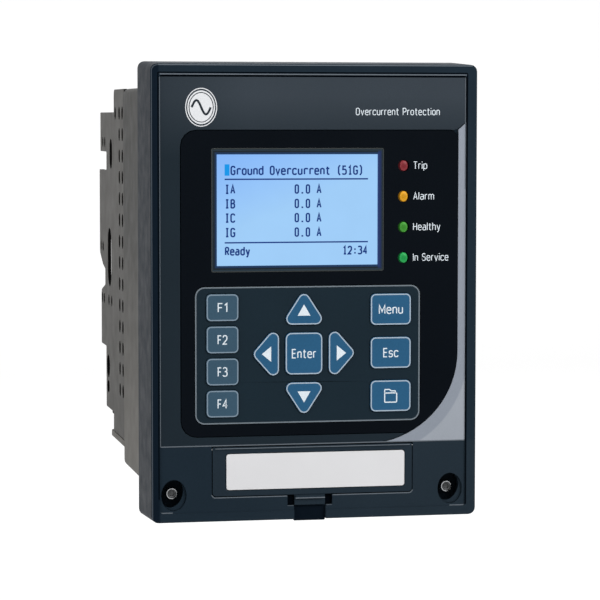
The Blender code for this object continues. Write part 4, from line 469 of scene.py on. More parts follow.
def bar(mesh, line, width, front, back, closed=False):
    """A flat bar of even width along a line, between two depths."""
    count = len(line)
    rows = []
    for i, point in enumerate(line):
        here = Vector(point)
        before = here - Vector(line[i - 1]) if closed or i else None
        after = Vector(line[(i + 1) % count]) - here if closed or i < count - 1 else None
        first = (before if before is not None else after).normalized()
        last = (after if after is not None else before).normalized()
        across = Vector((-(first + last).y, (first + last).x)).normalized()
        reach = width / 2 / max(0.4, across.dot(Vector((-last.y, last.x))))
        rows.append(
            [
                mesh.verts.new(
                    (here.x + side * across.x * reach, y, here.y + side * across.y * reach)
                )
                for side, y in ((-1, front), (1, front), (1, back), (-1, back))
            ]
        )
    for i in range(count if closed else count - 1):
        one, two = rows[i], rows[(i + 1) % count]
        for k in range(4):
            mesh.faces.new((one[k], one[(k + 1) % 4], two[(k + 1) % 4], two[k]))
    if not closed:
        mesh.faces.new(rows[0][::-1])
        mesh.faces.new(rows[-1])


def pad(mesh, outline, front, back):
    """A flat plate of the outline, between two depths."""
    near = [mesh.verts.new((x, front, z)) for x, z in outline]
    far = [mesh.verts.new((x, back, z)) for x, z in outline]
    mesh.faces.new(near)
    mesh.faces.new(far[::-1])
    for i in range(len(outline)):
        mesh.faces.new((near[i - 1], near[i], far[i], far[i - 1]))


def turned(mesh, rings, centre, sides=40, share=1.0):
    """A shape about the depth axis, from rings of a radius, or a radius by angle, and a depth."""
    x, z = centre
    rows = []
    for radius, y in rings:
        row = []
        for i in range(sides):
            turn = 2 * math.pi * i / sides
            reach = radius(turn) if callable(radius) else radius
            row.append(
                mesh.verts.new((x + share * reach * math.cos(turn), y, z + reach * math.sin(turn)))
            )
        rows.append(row)
    for one, two in zip(rows, rows[1:]):
        for i in range(sides):
            mesh.faces.new((one[i - 1], one[i], two[i], two[i - 1]))
    mesh.faces.new(rows[0])
    mesh.faces.new(rows[-1][::-1])


def hexagon(across_flats):
    """Radius by angle of a hexagon, for turned()."""
    half = across_flats / 2
    sector = math.radians(60)
    return lambda turn: half / math.cos((turn % sector) - sector / 2)


def piece(name, mesh, finish, body, replaces=(), angle=35):
    """Ends a piece: closes its mesh, shades it, gives it its finish and ties it to its body."""
    bmesh.ops.remove_doubles(mesh, verts=mesh.verts, dist=1e-7)
    bmesh.ops.recalc_face_normals(mesh, faces=mesh.faces)
    data = bpy.data.meshes.new(name)
    mesh.to_mesh(data)
    mesh.free()
    data.shade_smooth()
    data.set_sharp_from_angle(angle=math.radians(angle))
    data.materials.append(finish.material)
    made = bpy.data.objects.new(name, data)
    bpy.context.scene.collection.objects.link(made)
    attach(made, body)
    if replaces:
        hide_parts(*replaces)
    return made


def body_of(node):
    for body, members in frame["record"]["behaviour"]["bodies"].items():
        if node in members:
            return body
    raise RuntimeError(f"no body holds {node}")


def settings(context):
    return context.scene.relay_colours, context.scene.relay_sizes


def face_of(node):
    """Depth of a node's front."""
    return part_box(node)[0].y


# Display characters: strokes on a grid 4 wide and 7 high, as (x, z, corner radius)

OVAL = [(0, 0, 1.9), (4, 0, 1.9), (4, 7, 1.9), (0, 7, 1.9)]
LOW_OVAL = [(0, 0, 1.9), (4, 0, 1.9), (4, 5, 1.9), (0, 5, 1.9)]
CHARACTERS = {
    "G": [[(3.9, 5.6, 0), (3.9, 7, 1.5), (0, 7, 1.9), (0, 0, 1.9), (4, 0, 1.6), (4, 3.2, 0), (2.2, 3.2, 0)]],
    "r": [[(0.6, 0, 0), (0.6, 5, 0)], [(0.6, 3.2, 0), (0.9, 5, 1.2), (3.9, 5, 0.6), (4, 4.2, 0)]],
    "o": ["closed", LOW_OVAL],
    "u": [[(0.1, 5, 0), (0.1, 0, 1.7), (3.9, 0, 1.7), (3.9, 2, 0)], [(3.9, 5, 0), (3.9, 0, 0)]],
    "n": [[(0.2, 0, 0), (0.2, 5, 0)], [(0.2, 3, 0), (0.2, 5, 1.6), (3.9, 5, 1.6), (3.9, 0, 0)]],
    "d": ["closed", LOW_OVAL, [(4, 0, 0), (4, 7.4, 0)]],
    "O": ["closed", OVAL],
    "0": ["closed", [(0.3, 0, 1.5), (3.7, 0, 1.5), (3.7, 7, 1.5), (0.3, 7, 1.5)]],
    "v": [[(0, 5, 0), (2, 0, 0), (4, 5, 0)]],
    "e": [[(0, 2.7, 0), (4, 2.7, 0), (4, 5, 1.8), (0, 5, 1.8), (0, 0, 1.8), (3.8, 0, 0.8), (3.8, 0.8, 0)]],
    "c": [[(3.8, 4, 0), (3.8, 5, 0.9), (0, 5, 1.8), (0, 0, 1.8), (3.8, 0, 0.9), (3.8, 1, 0)]],
    "t": [[(1.5, 6.6, 0), (1.5, 0, 1.2), (3.8, 0, 0)], [(0, 5, 0), (3.7, 5, 0)]],
    "(": [[(3.2, 7.9, 0), (1.6, 6, 1.6), (1.6, 1, 1.6), (3.2, -0.9, 0)]],
    ")": [[(0.8, 7.9, 0), (2.4, 6, 1.6), (2.4, 1, 1.6), (0.8, -0.9, 0)]],
    "5": [[(3.7, 7, 0), (0.4, 7, 0), (0.2, 4.1, 0), (3.9, 4.3, 1.8), (3.9, 0, 1.8), (0, 0, 0.8), (0, 0.8, 0)]],
    "1": [[(0.7, 5.5, 0), (2.2, 7, 0), (2.2, 0, 0)], [(0.7, 0, 0), (3.7, 0, 0)]],
    "I": [[(0.6, 7, 0), (3.4, 7, 0)], [(2, 7, 0), (2, 0, 0)], [(0.6, 0, 0), (3.4, 0, 0)]],
    "A": [[(0, 0, 0), (2, 7, 0), (4, 0, 0)], [(0.7, 2.3, 0), (3.3, 2.3, 0)]],
    "B": [
        [(0.2, 7, 0), (3.6, 7, 1.6), (3.6, 3.7, 1.6), (0.2, 3.7, 0)],
        [(0.2, 3.7, 0), (3.9, 3.7, 1.8), (3.9, 0, 1.8), (0.2, 0, 0)],
        [(0.2, 7.2, 0), (0.2, -0.2, 0)],
    ],
    "C": [[(3.9, 5.6, 0), (3.9, 7, 1.5), (0, 7, 1.9), (0, 0, 1.9), (3.9, 0, 1.5), (3.9, 1.4, 0)]],
    ".": [[(1.0, 0.15, 0), (3.0, 0.15, 0)]],
    ":": [[(1.0, 0.9, 0), (3.0, 0.9, 0)], [(1.0, 4.4, 0), (3.0, 4.4, 0)]],
    "R": [
        [(0.2, 0, 0), (0.2, 7, 0)],
        [(0.2, 7, 0), (3.9, 7, 1.7), (3.9, 3.4, 1.7), (0.2, 3.4, 0)],
        [(2, 3.4, 0), (4, 0, 0)],
    ],
    "a": [
        [(0.4, 5, 0), (3.8, 5, 1.6), (3.8, 0, 0)],
        [(3.8, 2.9, 0), (0, 2.9, 1.3), (0, 0, 1.3), (3.8, 0, 1.3), (3.8, 1.5, 0)],
    ],
    "y": [[(0, 5, 0), (2.1, 0.2, 0)], [(4, 5, 0), (1.7, -1.7, 0.8), (0.3, -2, 0)]],
    "2": [[(0.1, 5.4, 0), (0.1, 7, 1.4), (3.9, 7, 1.7), (3.9, 4, 1.4), (0, 0, 0), (4, 0, 0)]],
    "3": [
        [(0.2, 6.1, 0), (0.2, 7, 0.8), (3.7, 7, 1.6), (3.7, 3.8, 1.6), (1.5, 3.8, 0)],
        [(1.5, 3.8, 0), (3.9, 3.8, 1.8), (3.9, 0, 1.8), (0, 0, 0.8), (0, 0.9, 0)],
    ],
    "4": [[(3, 0, 0), (3, 7, 0), (0, 2, 0), (4.2, 2, 0)]],
}
LETTERS = {
    **CHARACTERS,
    "1": [[(0, 5.5, 0), (1.7, 7, 0), (1.7, 0, 0)]],
    "6": [
        [
            (3.6, 6.2, 0), (3.6, 7, 0.8), (0.1, 7, 1.8), (0.1, 0, 1.8),
            (3.9, 0, 1.8), (3.9, 4, 1.8), (0.2, 4, 0),
        ]
    ],
    "7": [[(0, 7, 0), (3.9, 7, 0), (1.4, 0, 0)]],
    "8": [
        "closed",
        [(0.1, 0, 1.7), (3.9, 0, 1.7), (3.9, 3.7, 1.7), (0.1, 3.7, 1.7)],
        [(2, 3.7, 0), (0.4, 3.7, 1.4), (0.4, 7, 1.4), (3.6, 7, 1.4), (3.6, 3.7, 1.4), (2, 3.7, 0)],
    ],
    "9": [
        [
            (0.3, 0.8, 0), (0.3, 0, 0.8), (3.9, 0, 1.8), (3.9, 7, 1.8),
            (0.1, 7, 1.8), (0.1, 3, 1.8), (3.8, 3, 0),
        ]
    ],
    "E": [[(3.3, 7, 0), (0, 7, 0), (0, 0, 0), (3.3, 0, 0)], [(0, 3.7, 0), (3, 3.7, 0)]],
    "F": [[(0, 0, 0), (0, 7, 0), (3.2, 7, 0)], [(0, 3.6, 0), (2.9, 3.6, 0)]],
    "H": [[(0, 7, 0), (0, 0, 0)], [(3.8, 7, 0), (3.8, 0, 0)], [(0, 3.6, 0), (3.8, 3.6, 0)]],
    "I": [[(0, 7, 0), (0, 0, 0)]],
    "M": [[(0, 0, 0), (0, 7, 0), (2.5, 1.6, 0), (5, 7, 0), (5, 0, 0)]],
    "P": [[(0, 0, 0), (0, 7, 0), (3.7, 7, 1.8), (3.7, 3.1, 1.8), (0, 3.1, 0)]],
    "S": [
        [
            (3.5, 5.9, 0), (3.5, 7, 1.3), (0.1, 7, 1.6), (0.1, 3.7, 1.6),
            (3.7, 3.7, 1.7), (3.7, 0, 1.7), (0, 0, 1.4), (0, 1.2, 0),
        ]
    ],
    "T": [[(0, 7, 0), (3.9, 7, 0)], [(1.95, 7, 0), (1.95, 0, 0)]],
    "h": [[(0.2, 0, 0), (0.2, 7.2, 0)], [(0.2, 3, 0), (0.2, 5, 1.6), (3.9, 5, 1.6), (3.9, 0, 0)]],
    "i": [[(0, 0, 0), (0, 5, 0)], [(0, 6.4, 0), (0, 7.2, 0)]],
    "l": [[(0, 0, 0), (0, 7.2, 0)]],
    "m": [
        [(0, 0, 0), (0, 5, 0)],
        [(0, 3.2, 0), (0, 5, 1.5), (3.1, 5, 1.5), (3.1, 0, 0)],
        [(3.1, 3.2, 0), (3.1, 5, 1.5), (6.2, 5, 1.5), (6.2, 0, 0)],
    ],
    "p": ["closed", LOW_OVAL, [(0, 5, 0), (0, -2, 0)]],
    "r": [[(0.2, 0, 0), (0.2, 5, 0)], [(0.2, 2.8, 0), (0.2, 5, 1.6), (2.6, 5, 0)]],
    "s": [
        [
            (3.3, 4.2, 0), (3.3, 5, 0.8), (0.2, 5, 1.2), (0.2, 2.55, 1.2),
            (3.6, 2.55, 1.2), (3.6, 0, 1.2), (0, 0, 0.8), (0, 0.8, 0),
        ]
    ],
    "t": [[(1.2, 6.7, 0), (1.2, 0, 1.2), (3, 0, 0)], [(0, 5, 0), (3, 5, 0)]],
}
SPACE = 1.9
LETTER_GAP = 0.95
SMALL_LETTER_WIDTH = 0.88


def draw(mesh, strokes, start, baseline, wide, grid, stroke, front, back):
    """One letter, drawn with bars of one width."""
    closed = bool(strokes) and strokes[0] == "closed"
    scale = min(grid, wide)
    layer = 0.004 * MM  # each stroke of a letter stands a little prouder than the last
    for k, corners in enumerate(s for s in strokes if s != "closed"):
        ring = closed and k == 0
        placed = [
            (start + x * wide, baseline + stroke / 2 + z * grid, r * scale) for x, z, r in corners
        ]
        bar(mesh, rounded(placed, ring, 4), stroke, front - k * layer, back, ring)


def words(mesh, text, cap_height, width, left, baseline, stroke, front, back):
    """A line of print fitted to a cap height and a total width."""
    letters = []
    for letter in text:
        strokes = LETTERS.get(letter, [])
        share = SMALL_LETTER_WIDTH if letter.islower() else 1.0
        spans = [x for corners in strokes if corners != "closed" for x, _, _ in corners]
        first = min(spans, default=0.0)
        letters.append((strokes, share, first, (max(spans, default=SPACE) - first) * share))
    count = len(letters)
    total = sum(span for *_, span in letters) + (count - 1) * LETTER_GAP
    unit = (width - count * stroke) / total
    grid = (cap_height - stroke) / 7
    place = left + stroke / 2
    for strokes, share, first, span in letters:
        wide = unit * share
        draw(mesh, strokes, place - first * wide, baseline, wide, grid, stroke, front, back)
        place += (span + LETTER_GAP) * unit + stroke


def characters(mesh, text, left, baseline, height, pitch, stroke, front, back):
    """A line of fixed-pitch characters, each drawn with strokes of one width."""
    grid = (height - stroke) / 7
    wide = (pitch * 0.9 - stroke) / 4
    for i, letter in enumerate(text):
        start = left + i * pitch + stroke / 2
        strokes = CHARACTERS.get(letter, [])
        draw(mesh, strokes, start, baseline, wide, grid, stroke, front, back)


# Operators


class RELAY_OT_bezel(bpy.types.Operator):
    """Finish the moulded bezel"""

    bl_idname = "relay.bezel"
    bl_label = "Bezel"

    def execute(self, context):
        colours, sizes = settings(context)
        plastic = moulded("Moulded bezel", colours.bezel, 0.42, 0.02)
        # Painted shade: the bezel's left border and side are painted darker.
        side = plastic.between(plastic.axes[0], -61.6 * MM, -60.8 * MM)
        body = plastic.varied(colours.bezel, 0.09, 0.8 * MM, 30 * MM)
        left = plastic.varied(colours.bezel_left_shade, 0.09, 0.8 * MM, 30 * MM)
        # Painted light: below the door's split line the bezel is painted lighter towards the right, in the
        # door's colour.
        under = plastic.between(plastic.axes[2], -58.5 * MM, -59.5 * MM)
        right = plastic.between(plastic.axes[0], -45 * MM, 40 * MM)
        lit = plastic.varied(colours.door, 0.09, 0.8 * MM, 30 * MM)
        body = plastic.mix(plastic.calculate("MULTIPLY", under, right), body, lit)
        tone = plastic.mix(side, left, body)
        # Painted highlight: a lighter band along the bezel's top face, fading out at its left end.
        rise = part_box("front_bezel")[1].z - 0.35 * MM
        above = plastic.between(plastic.axes[2], rise, rise + 0.2 * MM)
        along = plastic.between(plastic.axes[0], -62 * MM, -55 * MM)
        above = plastic.calculate("MULTIPLY", above, along)
        plastic.paint(plastic.mix(above, tone, colours.bezel_top_highlight))
        dress("front_bezel", plastic, sizes.edge)

        front = face_of("front_bezel")
        field = face_of("front_overlay")
        # Painted highlights: thin light and dim lines laid along the bezel's front edge, the field's edges,
        # the door's lower edge and the ledges by the screw pockets and latch.
        light = printed("Painted edge highlight", colours.edge_highlight, 0.3)
        dim = printed("Dim painted edge highlight", colours.edge_dim_highlight, 0.3)
        # Painted shadows: dark lines laid round the field, and dark pads deep in the latch pocket beside the
        # latch.
        dark = Finish("Shadow gap", 0.8, specular=0.0)
        dark.paint(dark.varied(colours.groove_shadow, 0.15, 0.5 * MM, 5 * MM))
        dark.worn(1 * MM, 0.05)
        rim = [(-64.1, -87, 0), (-64.1, 88.05, 2.4), (-61.5, 88.05, 0)]
        self.lines("rim_edge", dim, front, 0.36, [rim])
        self.lines("rim_edge_top", light, front, 0.36, [[(-61.6, 88.05, 0), (62.6, 88.05, 0)]])
        top = [(-60.9, 84.5, 0), (60.2, 84.5, 0)]
        ledges = [[(-60.9, -84.75, 0), (-56.2, -84.75, 0)], [(54.2, -84.75, 0), (60.2, -84.75, 0)]]
        self.lines("field_edge_top", light, front, 0.42, [top])
        self.lines("pocket_ledge_highlights", light, field, 0.42, ledges)
        side = [[(-60.85, 83.5, 0), (-60.85, -58.8, 0)], [(59.95, 83.5, 0), (59.95, 40, 0)]]
        split = [(-60.9, -59.0, 0), (60.2, -59.0, 0)]
        self.lines("field_edge_sides", light, field, 0.3, side)
        self.lines("field_edge_split", light, field, 0.4, [split])
        below = [
            [(-41.0, -78.2, 0), (-40.1, -79.35, 1.2), (-11.1, -79.35, 0)],
            [(7.0, -79.35, 0), (38.3, -79.35, 1.2), (39.25, -78.2, 0)],
        ]
        self.lines("door_edge_lower", light, field, 0.36, below)
        outer = [
            [(-61.55, -79.4, 0), (-61.55, 85.15, 0.4), (60.6, 85.15, 0.4), (60.6, -84.4, 0)],
        ]
        catch = [[(-10.9, -83.15, 0), (-8.5, -83.15, 0)], [(4.5, -83.15, 0), (6.8, -83.15, 0)]]
        self.lines("latch_ledge_highlights", dim, field, 0.36, catch)
        self.lines("field_groove", dark, front, 0.48, outer)
        self.lines("field_groove_top", dark, field, 0.5, [[(-60.6, 83.75, 0), (60.1, 83.75, 0)]])
        floor = bmesh.new()
        for left, right in ((-10.9, -8.2), (4.1, 6.8)):
            outline = rectangle(left * MM, right * MM, -82.9 * MM, -79.3 * MM, 0.3 * MM)
            pad(floor, outline, field + 1.5 * MM, field + 1.6 * MM)
        piece("latch_pocket_shadow", floor, dark, HOUSING)
        # Painted shadow: a dark pad in the channel below the latch.
        shade = Finish("Channel shadow", 0.8, specular=0.0)
        shade.paint(shade.varied(tuple(v * 2.4 for v in colours.groove_shadow), 0.12, 0.5 * MM, 5 * MM))
        shade.worn(1 * MM, 0.05)
        channel = bmesh.new()
        pad(
            channel,
            rectangle(-8.3 * MM, 4.2 * MM, -89.3 * MM, -83.4 * MM, 0.3 * MM),
            field + 1.5 * MM,
            field + 1.58 * MM,
        )
        piece("latch_channel_shadow", channel, shade, HOUSING)
        for name in ("left", "right"):
            low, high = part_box(f"front_screw_{name}")
            middle = ((low.x + high.x) / 2, (low.z + high.z) / 2)
            self.crescent(f"pocket_step_{name}", plastic, middle, field + 1.3 * MM)
        return {"FINISHED"}

    @staticmethod
    def crescent(name, finish, screw, face):
        """The step in a screw pocket, widest at the screw's lower right."""
        turns = [math.radians(-132 + 4.5 * i) for i in range(41)]
        depths = [0.1 * MM + 1.9 * MM * math.sin(math.pi * i / 40) for i in range(41)]
        ring = []
        for turn in turns:
            ring.append((5.95 * MM, turn))
        for depth, turn in zip(reversed(depths), reversed(turns)):
            ring.append((5.95 * MM - depth, turn))
        ring = [
            (screw[0] + 0.82 * reach * math.cos(turn), screw[1] + reach * math.sin(turn))
            for reach, turn in ring
        ]
        mesh = bmesh.new()
        pad(mesh, ring, face, face + 0.8 * MM)
        piece(name, mesh, finish, HOUSING)

    @staticmethod
    def lines(name, finish, face, width, paths):
        """Fine raised lines, their corners in millimetres: painted highlights and painted shadows along edges
        and gaps.
        """
        mesh = bmesh.new()
        for path in paths:
            corners = [(x * MM, z * MM, r * MM) for x, z, r in path]
            bar(mesh, rounded(corners, False, 5), width * MM, face - 0.05 * MM, face)
        piece(name, mesh, finish, HOUSING)


class RELAY_OT_overlay(bpy.types.Operator):
    """Finish the printed overlay and add its title and symbol"""

    bl_idname = "relay.overlay"
    bl_label = "Overlay"

    def execute(self, context):
        colours, sizes = settings(context)
        film = Finish("Overlay film", 0.42, specular=0.07)
        x, _, z = film.axes
        # Painted light: the film is painted lighter towards the top and the right of the header.
        rise = film.between(z, 52 * MM, 76 * MM)
        reach = film.between(x, -62 * MM, -25 * MM, 0.45, 1.0)
        low = film.varied(colours.overlay, 0.08, 0.5 * MM, 40 * MM)
        high = film.varied(colours.header, 0.08, 0.5 * MM, 40 * MM)
        film.paint(film.mix(film.calculate("MULTIPLY", rise, reach), low, high))
        film.worn(5 * MM, 0.04)
        film.grain(0.22 * MM, 0.012 * MM)
        dress("front_overlay", film, 0.12 * MM)
        face = face_of("front_overlay")
        front = face - sizes.print_height

        title = bmesh.new()
        words(
            title,
            "Overcurrent Protection",
            sizes.title_letter,
            33.6 * MM,
            16.0 * MM,
            68.8 * MM,
            sizes.title_stroke,
            front,
            face,
        )
        white = printed("White print", colours.legend)
        piece("header_title", title, white, HOUSING)

        disc = bmesh.new()
        centre = (-44.75 * MM, 71.8 * MM)
        share = sizes.round_share
        pad(disc, oval(centre, 6.45 * MM, share), front, face)
        bar(disc, oval(centre, 7.25 * MM, share), 0.36 * MM, front, face, True)
        piece("symbol_disc", disc, printed("Symbol disc", colours.symbol), HOUSING)
        wave = bmesh.new()
        ink = printed("Symbol ink", colours.overlay)
        top = front - sizes.print_height
        line = [
            (
                centre[0] + (i / 40 - 0.5) * 8.9 * MM * share,
                centre[1] + 2.7 * MM * math.sin(2 * math.pi * i / 40),
            )
            for i in range(41)
        ]
        bar(wave, line, 0.85 * MM, top, front)
        bar(wave, oval(centre, 5.65 * MM, share), 0.32 * MM, top, front, True)
        piece("symbol_wave", wave, ink, HOUSING)
        return {"FINISHED"}


class RELAY_OT_window(bpy.types.Operator):
    """Finish the dark window and the silver trim beside it"""

    bl_idname = "relay.window"
    bl_label = "Window and trim"

    def execute(self, context):
        colours, _ = settings(context)
        dark = Finish("Window film", 0.3, specular=0.02)
        dark.paint(dark.varied(colours.window, 0.12, 0.6 * MM, 50 * MM))
        dark.worn(12 * MM, 0.05)
        dark.grain(0.5 * MM, 0.002 * MM)
        dress("display_window", dark, 0.12 * MM)

        silver = Finish("Silver print", 0.38, metallic=0.25, specular=0.2)
        x, _, z = silver.axes
        across = silver.calculate("DIVIDE", silver.calculate("SUBTRACT", x, 20 * MM), 41.5 * MM)
        below = silver.calculate("MINIMUM", silver.calculate("ADD", z, 24 * MM), 0.0)
        down = silver.calculate("DIVIDE", below, 41 * MM)
        reach = silver.calculate(
            "ADD",
            silver.calculate("MULTIPLY", across, across),
            silver.calculate("MULTIPLY", down, down),
        )
        outside = silver.between(reach, 0.985, 1.015)
        light = silver.varied(colours.trim, 0.05, 0.25 * MM, 20 * MM)
        dim = silver.varied(colours.trim_band, 0.05, 0.25 * MM, 20 * MM)
        silver.paint(silver.mix(outside, dim, light))
        silver.worn(3 * MM, 0.05)
        silver.grain(0.12 * MM, 0.004 * MM)
        dress("silver_trim", silver, 0.1 * MM)
        return {"FINISHED"}


class RELAY_OT_display(bpy.types.Operator):
    """Light the display and write its characters"""

    bl_idname = "relay.display"
    bl_label = "Display"

    def execute(self, context):
        colours, sizes = settings(context)
        low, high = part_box("display_frame")
        lit_low = (low.x + 2 * MM, low.z + 2.2 * MM)
        lit_high = (high.x - 2 * MM, high.z - 2.2 * MM)
        middle = [(a + b) / 2 for a, b in zip(lit_low, lit_high)]
        half = [(b - a) / 2 for a, b in zip(lit_low, lit_high)]

        rim = Finish("Display frame", 0.35, specular=0.12)
        edges = []
        for axis, centre, reach in ((0, middle[0], half[0]), (2, middle[1], half[1])):
            away = rim.calculate("SUBTRACT", rim.axes[axis], centre)
            edges.append(rim.calculate("SUBTRACT", rim.calculate("ABSOLUTE", away), reach))
        gap = rim.calculate("MAXIMUM", *edges)
        inner = rim.varied(colours.display_frame, 0.1, 0.6 * MM, 20 * MM)
        # Painted highlight: the frame's outer band is painted three times lighter.
        outer = tuple(v * 3.0 for v in colours.display_frame)
        rim.paint(rim.mix(rim.between(gap, 1.35 * MM, 1.5 * MM), inner, outer))
        across = rim.between(rim.axes[0], lit_high[0] - 0.1 * MM, lit_high[0])
        reach = rim.calculate("MULTIPLY_ADD", across, 0.5 * MM, 0.95 * MM)
        fade = rim.calculate("SUBTRACT", 1.0, rim.calculate("DIVIDE", gap, reach))
        level = rim.calculate("MULTIPLY_ADD", across, -0.3, 1.0)
        near = rim.calculate("SQRT", rim.calculate("MAXIMUM", fade, 0.0))
        glow = rim.mix(across, colours.display_glow, colours.display_glow_right)
        rim.glow(glow, rim.calculate("MULTIPLY", near, level))
        rim.worn(4 * MM, 0.05)
        rim.grain(0.4 * MM, 0.006 * MM)
        dress("display_frame", rim)
        # Painted highlight: a thin lighter line round the display frame, where its edge would catch the light.
        surround = bmesh.new()
        near = min(face_of("display_window"), face_of("display_frame"))
        around = rectangle(low.x, high.x, low.z, high.z, 0.5 * MM)
        bar(surround, around, 0.42 * MM, near - sizes.print_height, near, True)
        thin = printed("Display surround", colours.display_surround_highlight, 0.4)
        piece("display_surround_highlight", surround, thin, HOUSING)

        glass = Finish("Lit glass", 0.25, specular=0.1)
        glass.paint((0.0, 0.0, 0.0))
        x, _, z = glass.axes
        right = glass.between(x, lit_low[0], lit_high[0])
        down = glass.between(z, lit_high[1], lit_low[1])
        share = glass.between(
            glass.calculate("ADD", glass.calculate("MULTIPLY", right, 0.6), down), 0.0, 0.75
        )
        light = glass.mix(share, colours.display_edge, colours.display)
        cells = []
        for axis in (x, z):
            step = glass.calculate("DIVIDE", axis, 0.38 * MM)
            cells.append(glass.calculate("FRACT", glass.calculate("ADD", step, 500.0)))
        line = glass.calculate("MINIMUM", *cells)
        level = glass.calculate(
            "MULTIPLY",
            glass.between(line, 0.06, 0.16, 0.955, 1.0),
            glass.between(glass.noise(9 * MM, 1.0), 0.3, 0.7, 0.985, 1.005),
        )
        edges = []
        for axis, centre, reach in ((x, middle[0], half[0]), (z, middle[1], half[1])):
            away = glass.calculate("ABSOLUTE", glass.calculate("SUBTRACT", axis, centre))
            edges.append(glass.calculate("LESS_THAN", away, reach + 0.4 * MM))
        lit = glass.calculate("MINIMUM", *edges)
        glass.glow(light, glass.calculate("MULTIPLY", level, lit))
        glass.grain(0.6 * MM, 0.002 * MM)
        dress("display_glass", glass)
        dress("display_module", plated("Module can", colours.steel, 0.4), 0.2 * MM)

        face = face_of("display_glass")
        front = face - 0.05 * MM
        pitch, tall, stroke = sizes.screen_pitch, sizes.screen_letter, sizes.screen_stroke
        ink = Finish("Display ink", 0.5, specular=0.05)
        ink.paint((0.0, 0.0, 0.0))
        ink.glow(ink.varied(colours.display_ink, 0.08, 0.5 * MM, 15 * MM))
        text = bmesh.new()
        left = -35.4 * MM
        title = "Ground Overcurrent (51G)"
        characters(text, title, -33.1 * MM, 45.65 * MM, tall, pitch, stroke, front, face)
        for name, baseline in (("IA", 38.4), ("IB", 32.8), ("IC", 27.3), ("IG", 21.7)):
            characters(text, name, left, baseline * MM, tall, pitch, stroke, front, face)
            value = (text, "0.0 A", -8.0 * MM, baseline * MM, tall, pitch, stroke, front, face)
            characters(*value)
        small = (tall * 0.94, pitch * 0.925, stroke, front, face)
        characters(text, "Ready", left, 14.6 * MM, *small)
        characters(text, "12:34", 11.15 * MM, 14.6 * MM, *small)
        piece("screen_text", text, ink, HOUSING)
        rules = bmesh.new()
        for height in (44.1 * MM, 19.6 * MM):
            bar(rules, [(left, height), (21.3 * MM, height)], 0.55 * MM, front, face)
        piece("screen_rules", rules, ink, HOUSING)
        block = bmesh.new()
        pad(block, rectangle(left, left + 1.9 * MM, 45.5 * MM, 49.9 * MM), front, face)
        cyan = Finish("Display cursor", 0.5, specular=0.05)
        cyan.paint((0.0, 0.0, 0.0))
        cyan.glow(cyan.varied(colours.cursor, 0.05, 0.5 * MM, 15 * MM))
        piece("screen_cursor", block, cyan, HOUSING)
        return {"FINISHED"}


class RELAY_OT_lamps(bpy.types.Operator):
    """Turn the four lamp lenses and print their names"""

    bl_idname = "relay.lamps"
    bl_label = "Lamps"

    def execute(self, context):
        colours, sizes = settings(context)
        rows = (
            ("lamp_trip", "Trip", 5.6),
            ("lamp_alarm", "Alarm", 8.4),
            ("lamp_healthy", "Healthy", 11.0),
            ("lamp_in_service", "In Service", 14.3),
        )
        legends = bmesh.new()
        face = face_of("display_window")
        for name, legend, width in rows:
            low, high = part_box(name)
            centre = ((low.x + high.x) / 2, (low.z + high.z) / 2)
            flange = (high.x - low.x) / 2
            radius = flange - 0.6 * MM
            dome = [(radius * math.sin(t), math.cos(t)) for t in (0.12, 0.5, 0.9, 1.25, 1.57)]
            rings = [(r, low.y + 0.5 * MM * (1 - c)) for r, c in dome]
            rings += [(radius, high.y - 1.2 * MM), (flange, high.y - 1.2 * MM)]
            rings += [(flange, high.y)]
            lens = bmesh.new()
            turned(lens, rings, centre, 40, sizes.lens_share)
            tint = getattr(colours, name)
            clear = Finish(f"Lens {name}", 0.3, specular=0.12, coat=0.05)
            x, _, z = clear.axes
            away = []
            for axis, middle in ((x, centre[0]), (z, centre[1])):
                step = clear.calculate("SUBTRACT", axis, middle)
                away.append(clear.calculate("MULTIPLY", step, step))
            reach = clear.calculate("SQRT", clear.calculate("ADD", *away))
            # Painted reflection: each lens is painted lighter and less saturated towards its rim, and darker
            # at its centre.
            rim = clear.between(reach, 0.35 * radius, radius)
            rim_reflection = tuple(min(1.0, v * 1.15 + 0.015) for v in tint)
            tone = clear.mix(rim, tuple(v * 0.72 for v in tint), rim_reflection)
            clear.paint(tone)
            clear.glow(tone, clear.between(clear.noise(0.8 * MM), 0.3, 0.7, 0.16, 0.21))
            clear.worn(1.2 * MM, 0.05)
            clear.grain(0.5 * MM, 0.004 * MM)
            piece(name.replace("lamp", "lens"), lens, clear, HOUSING, (name,))
            baseline = centre[1] - 1.35 * MM
            place = (width * MM, 39.0 * MM, baseline, sizes.lamp_stroke)
            words(legends, legend, sizes.lamp_letter, *place, face - sizes.print_height, face)
        white = printed("Lamp legend print", colours.legend)
        piece("lamp_legends", legends, white, HOUSING)
        return {"FINISHED"}


class RELAY_OT_keypad(bpy.types.Operator):
    """Finish the keypad plate and its printed line"""

    bl_idname = "relay.keypad"
    bl_label = "Keypad plate"

    def execute(self, context):
        colours, sizes = settings(context)
        plate = moulded("Keypad plate", colours.keypad, 0.5, 0.05, 0.3 * MM, 0.012 * MM)
        dress("keypad_plate", plate, 0.1 * MM)
        low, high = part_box("keypad_plate")
        inset = sizes.keypad_line / 2
        ring = bmesh.new()
        outline = rectangle(
            low.x + inset, high.x - inset, low.z + inset, high.z - inset, 3.4 * MM
        )
        bar(ring, outline, sizes.keypad_line, low.y - sizes.print_height, low.y, True)
        grey = printed("Keypad line print", colours.keypad_line)
        piece("keypad_line", ring, grey, HOUSING)
        return {"FINISHED"}


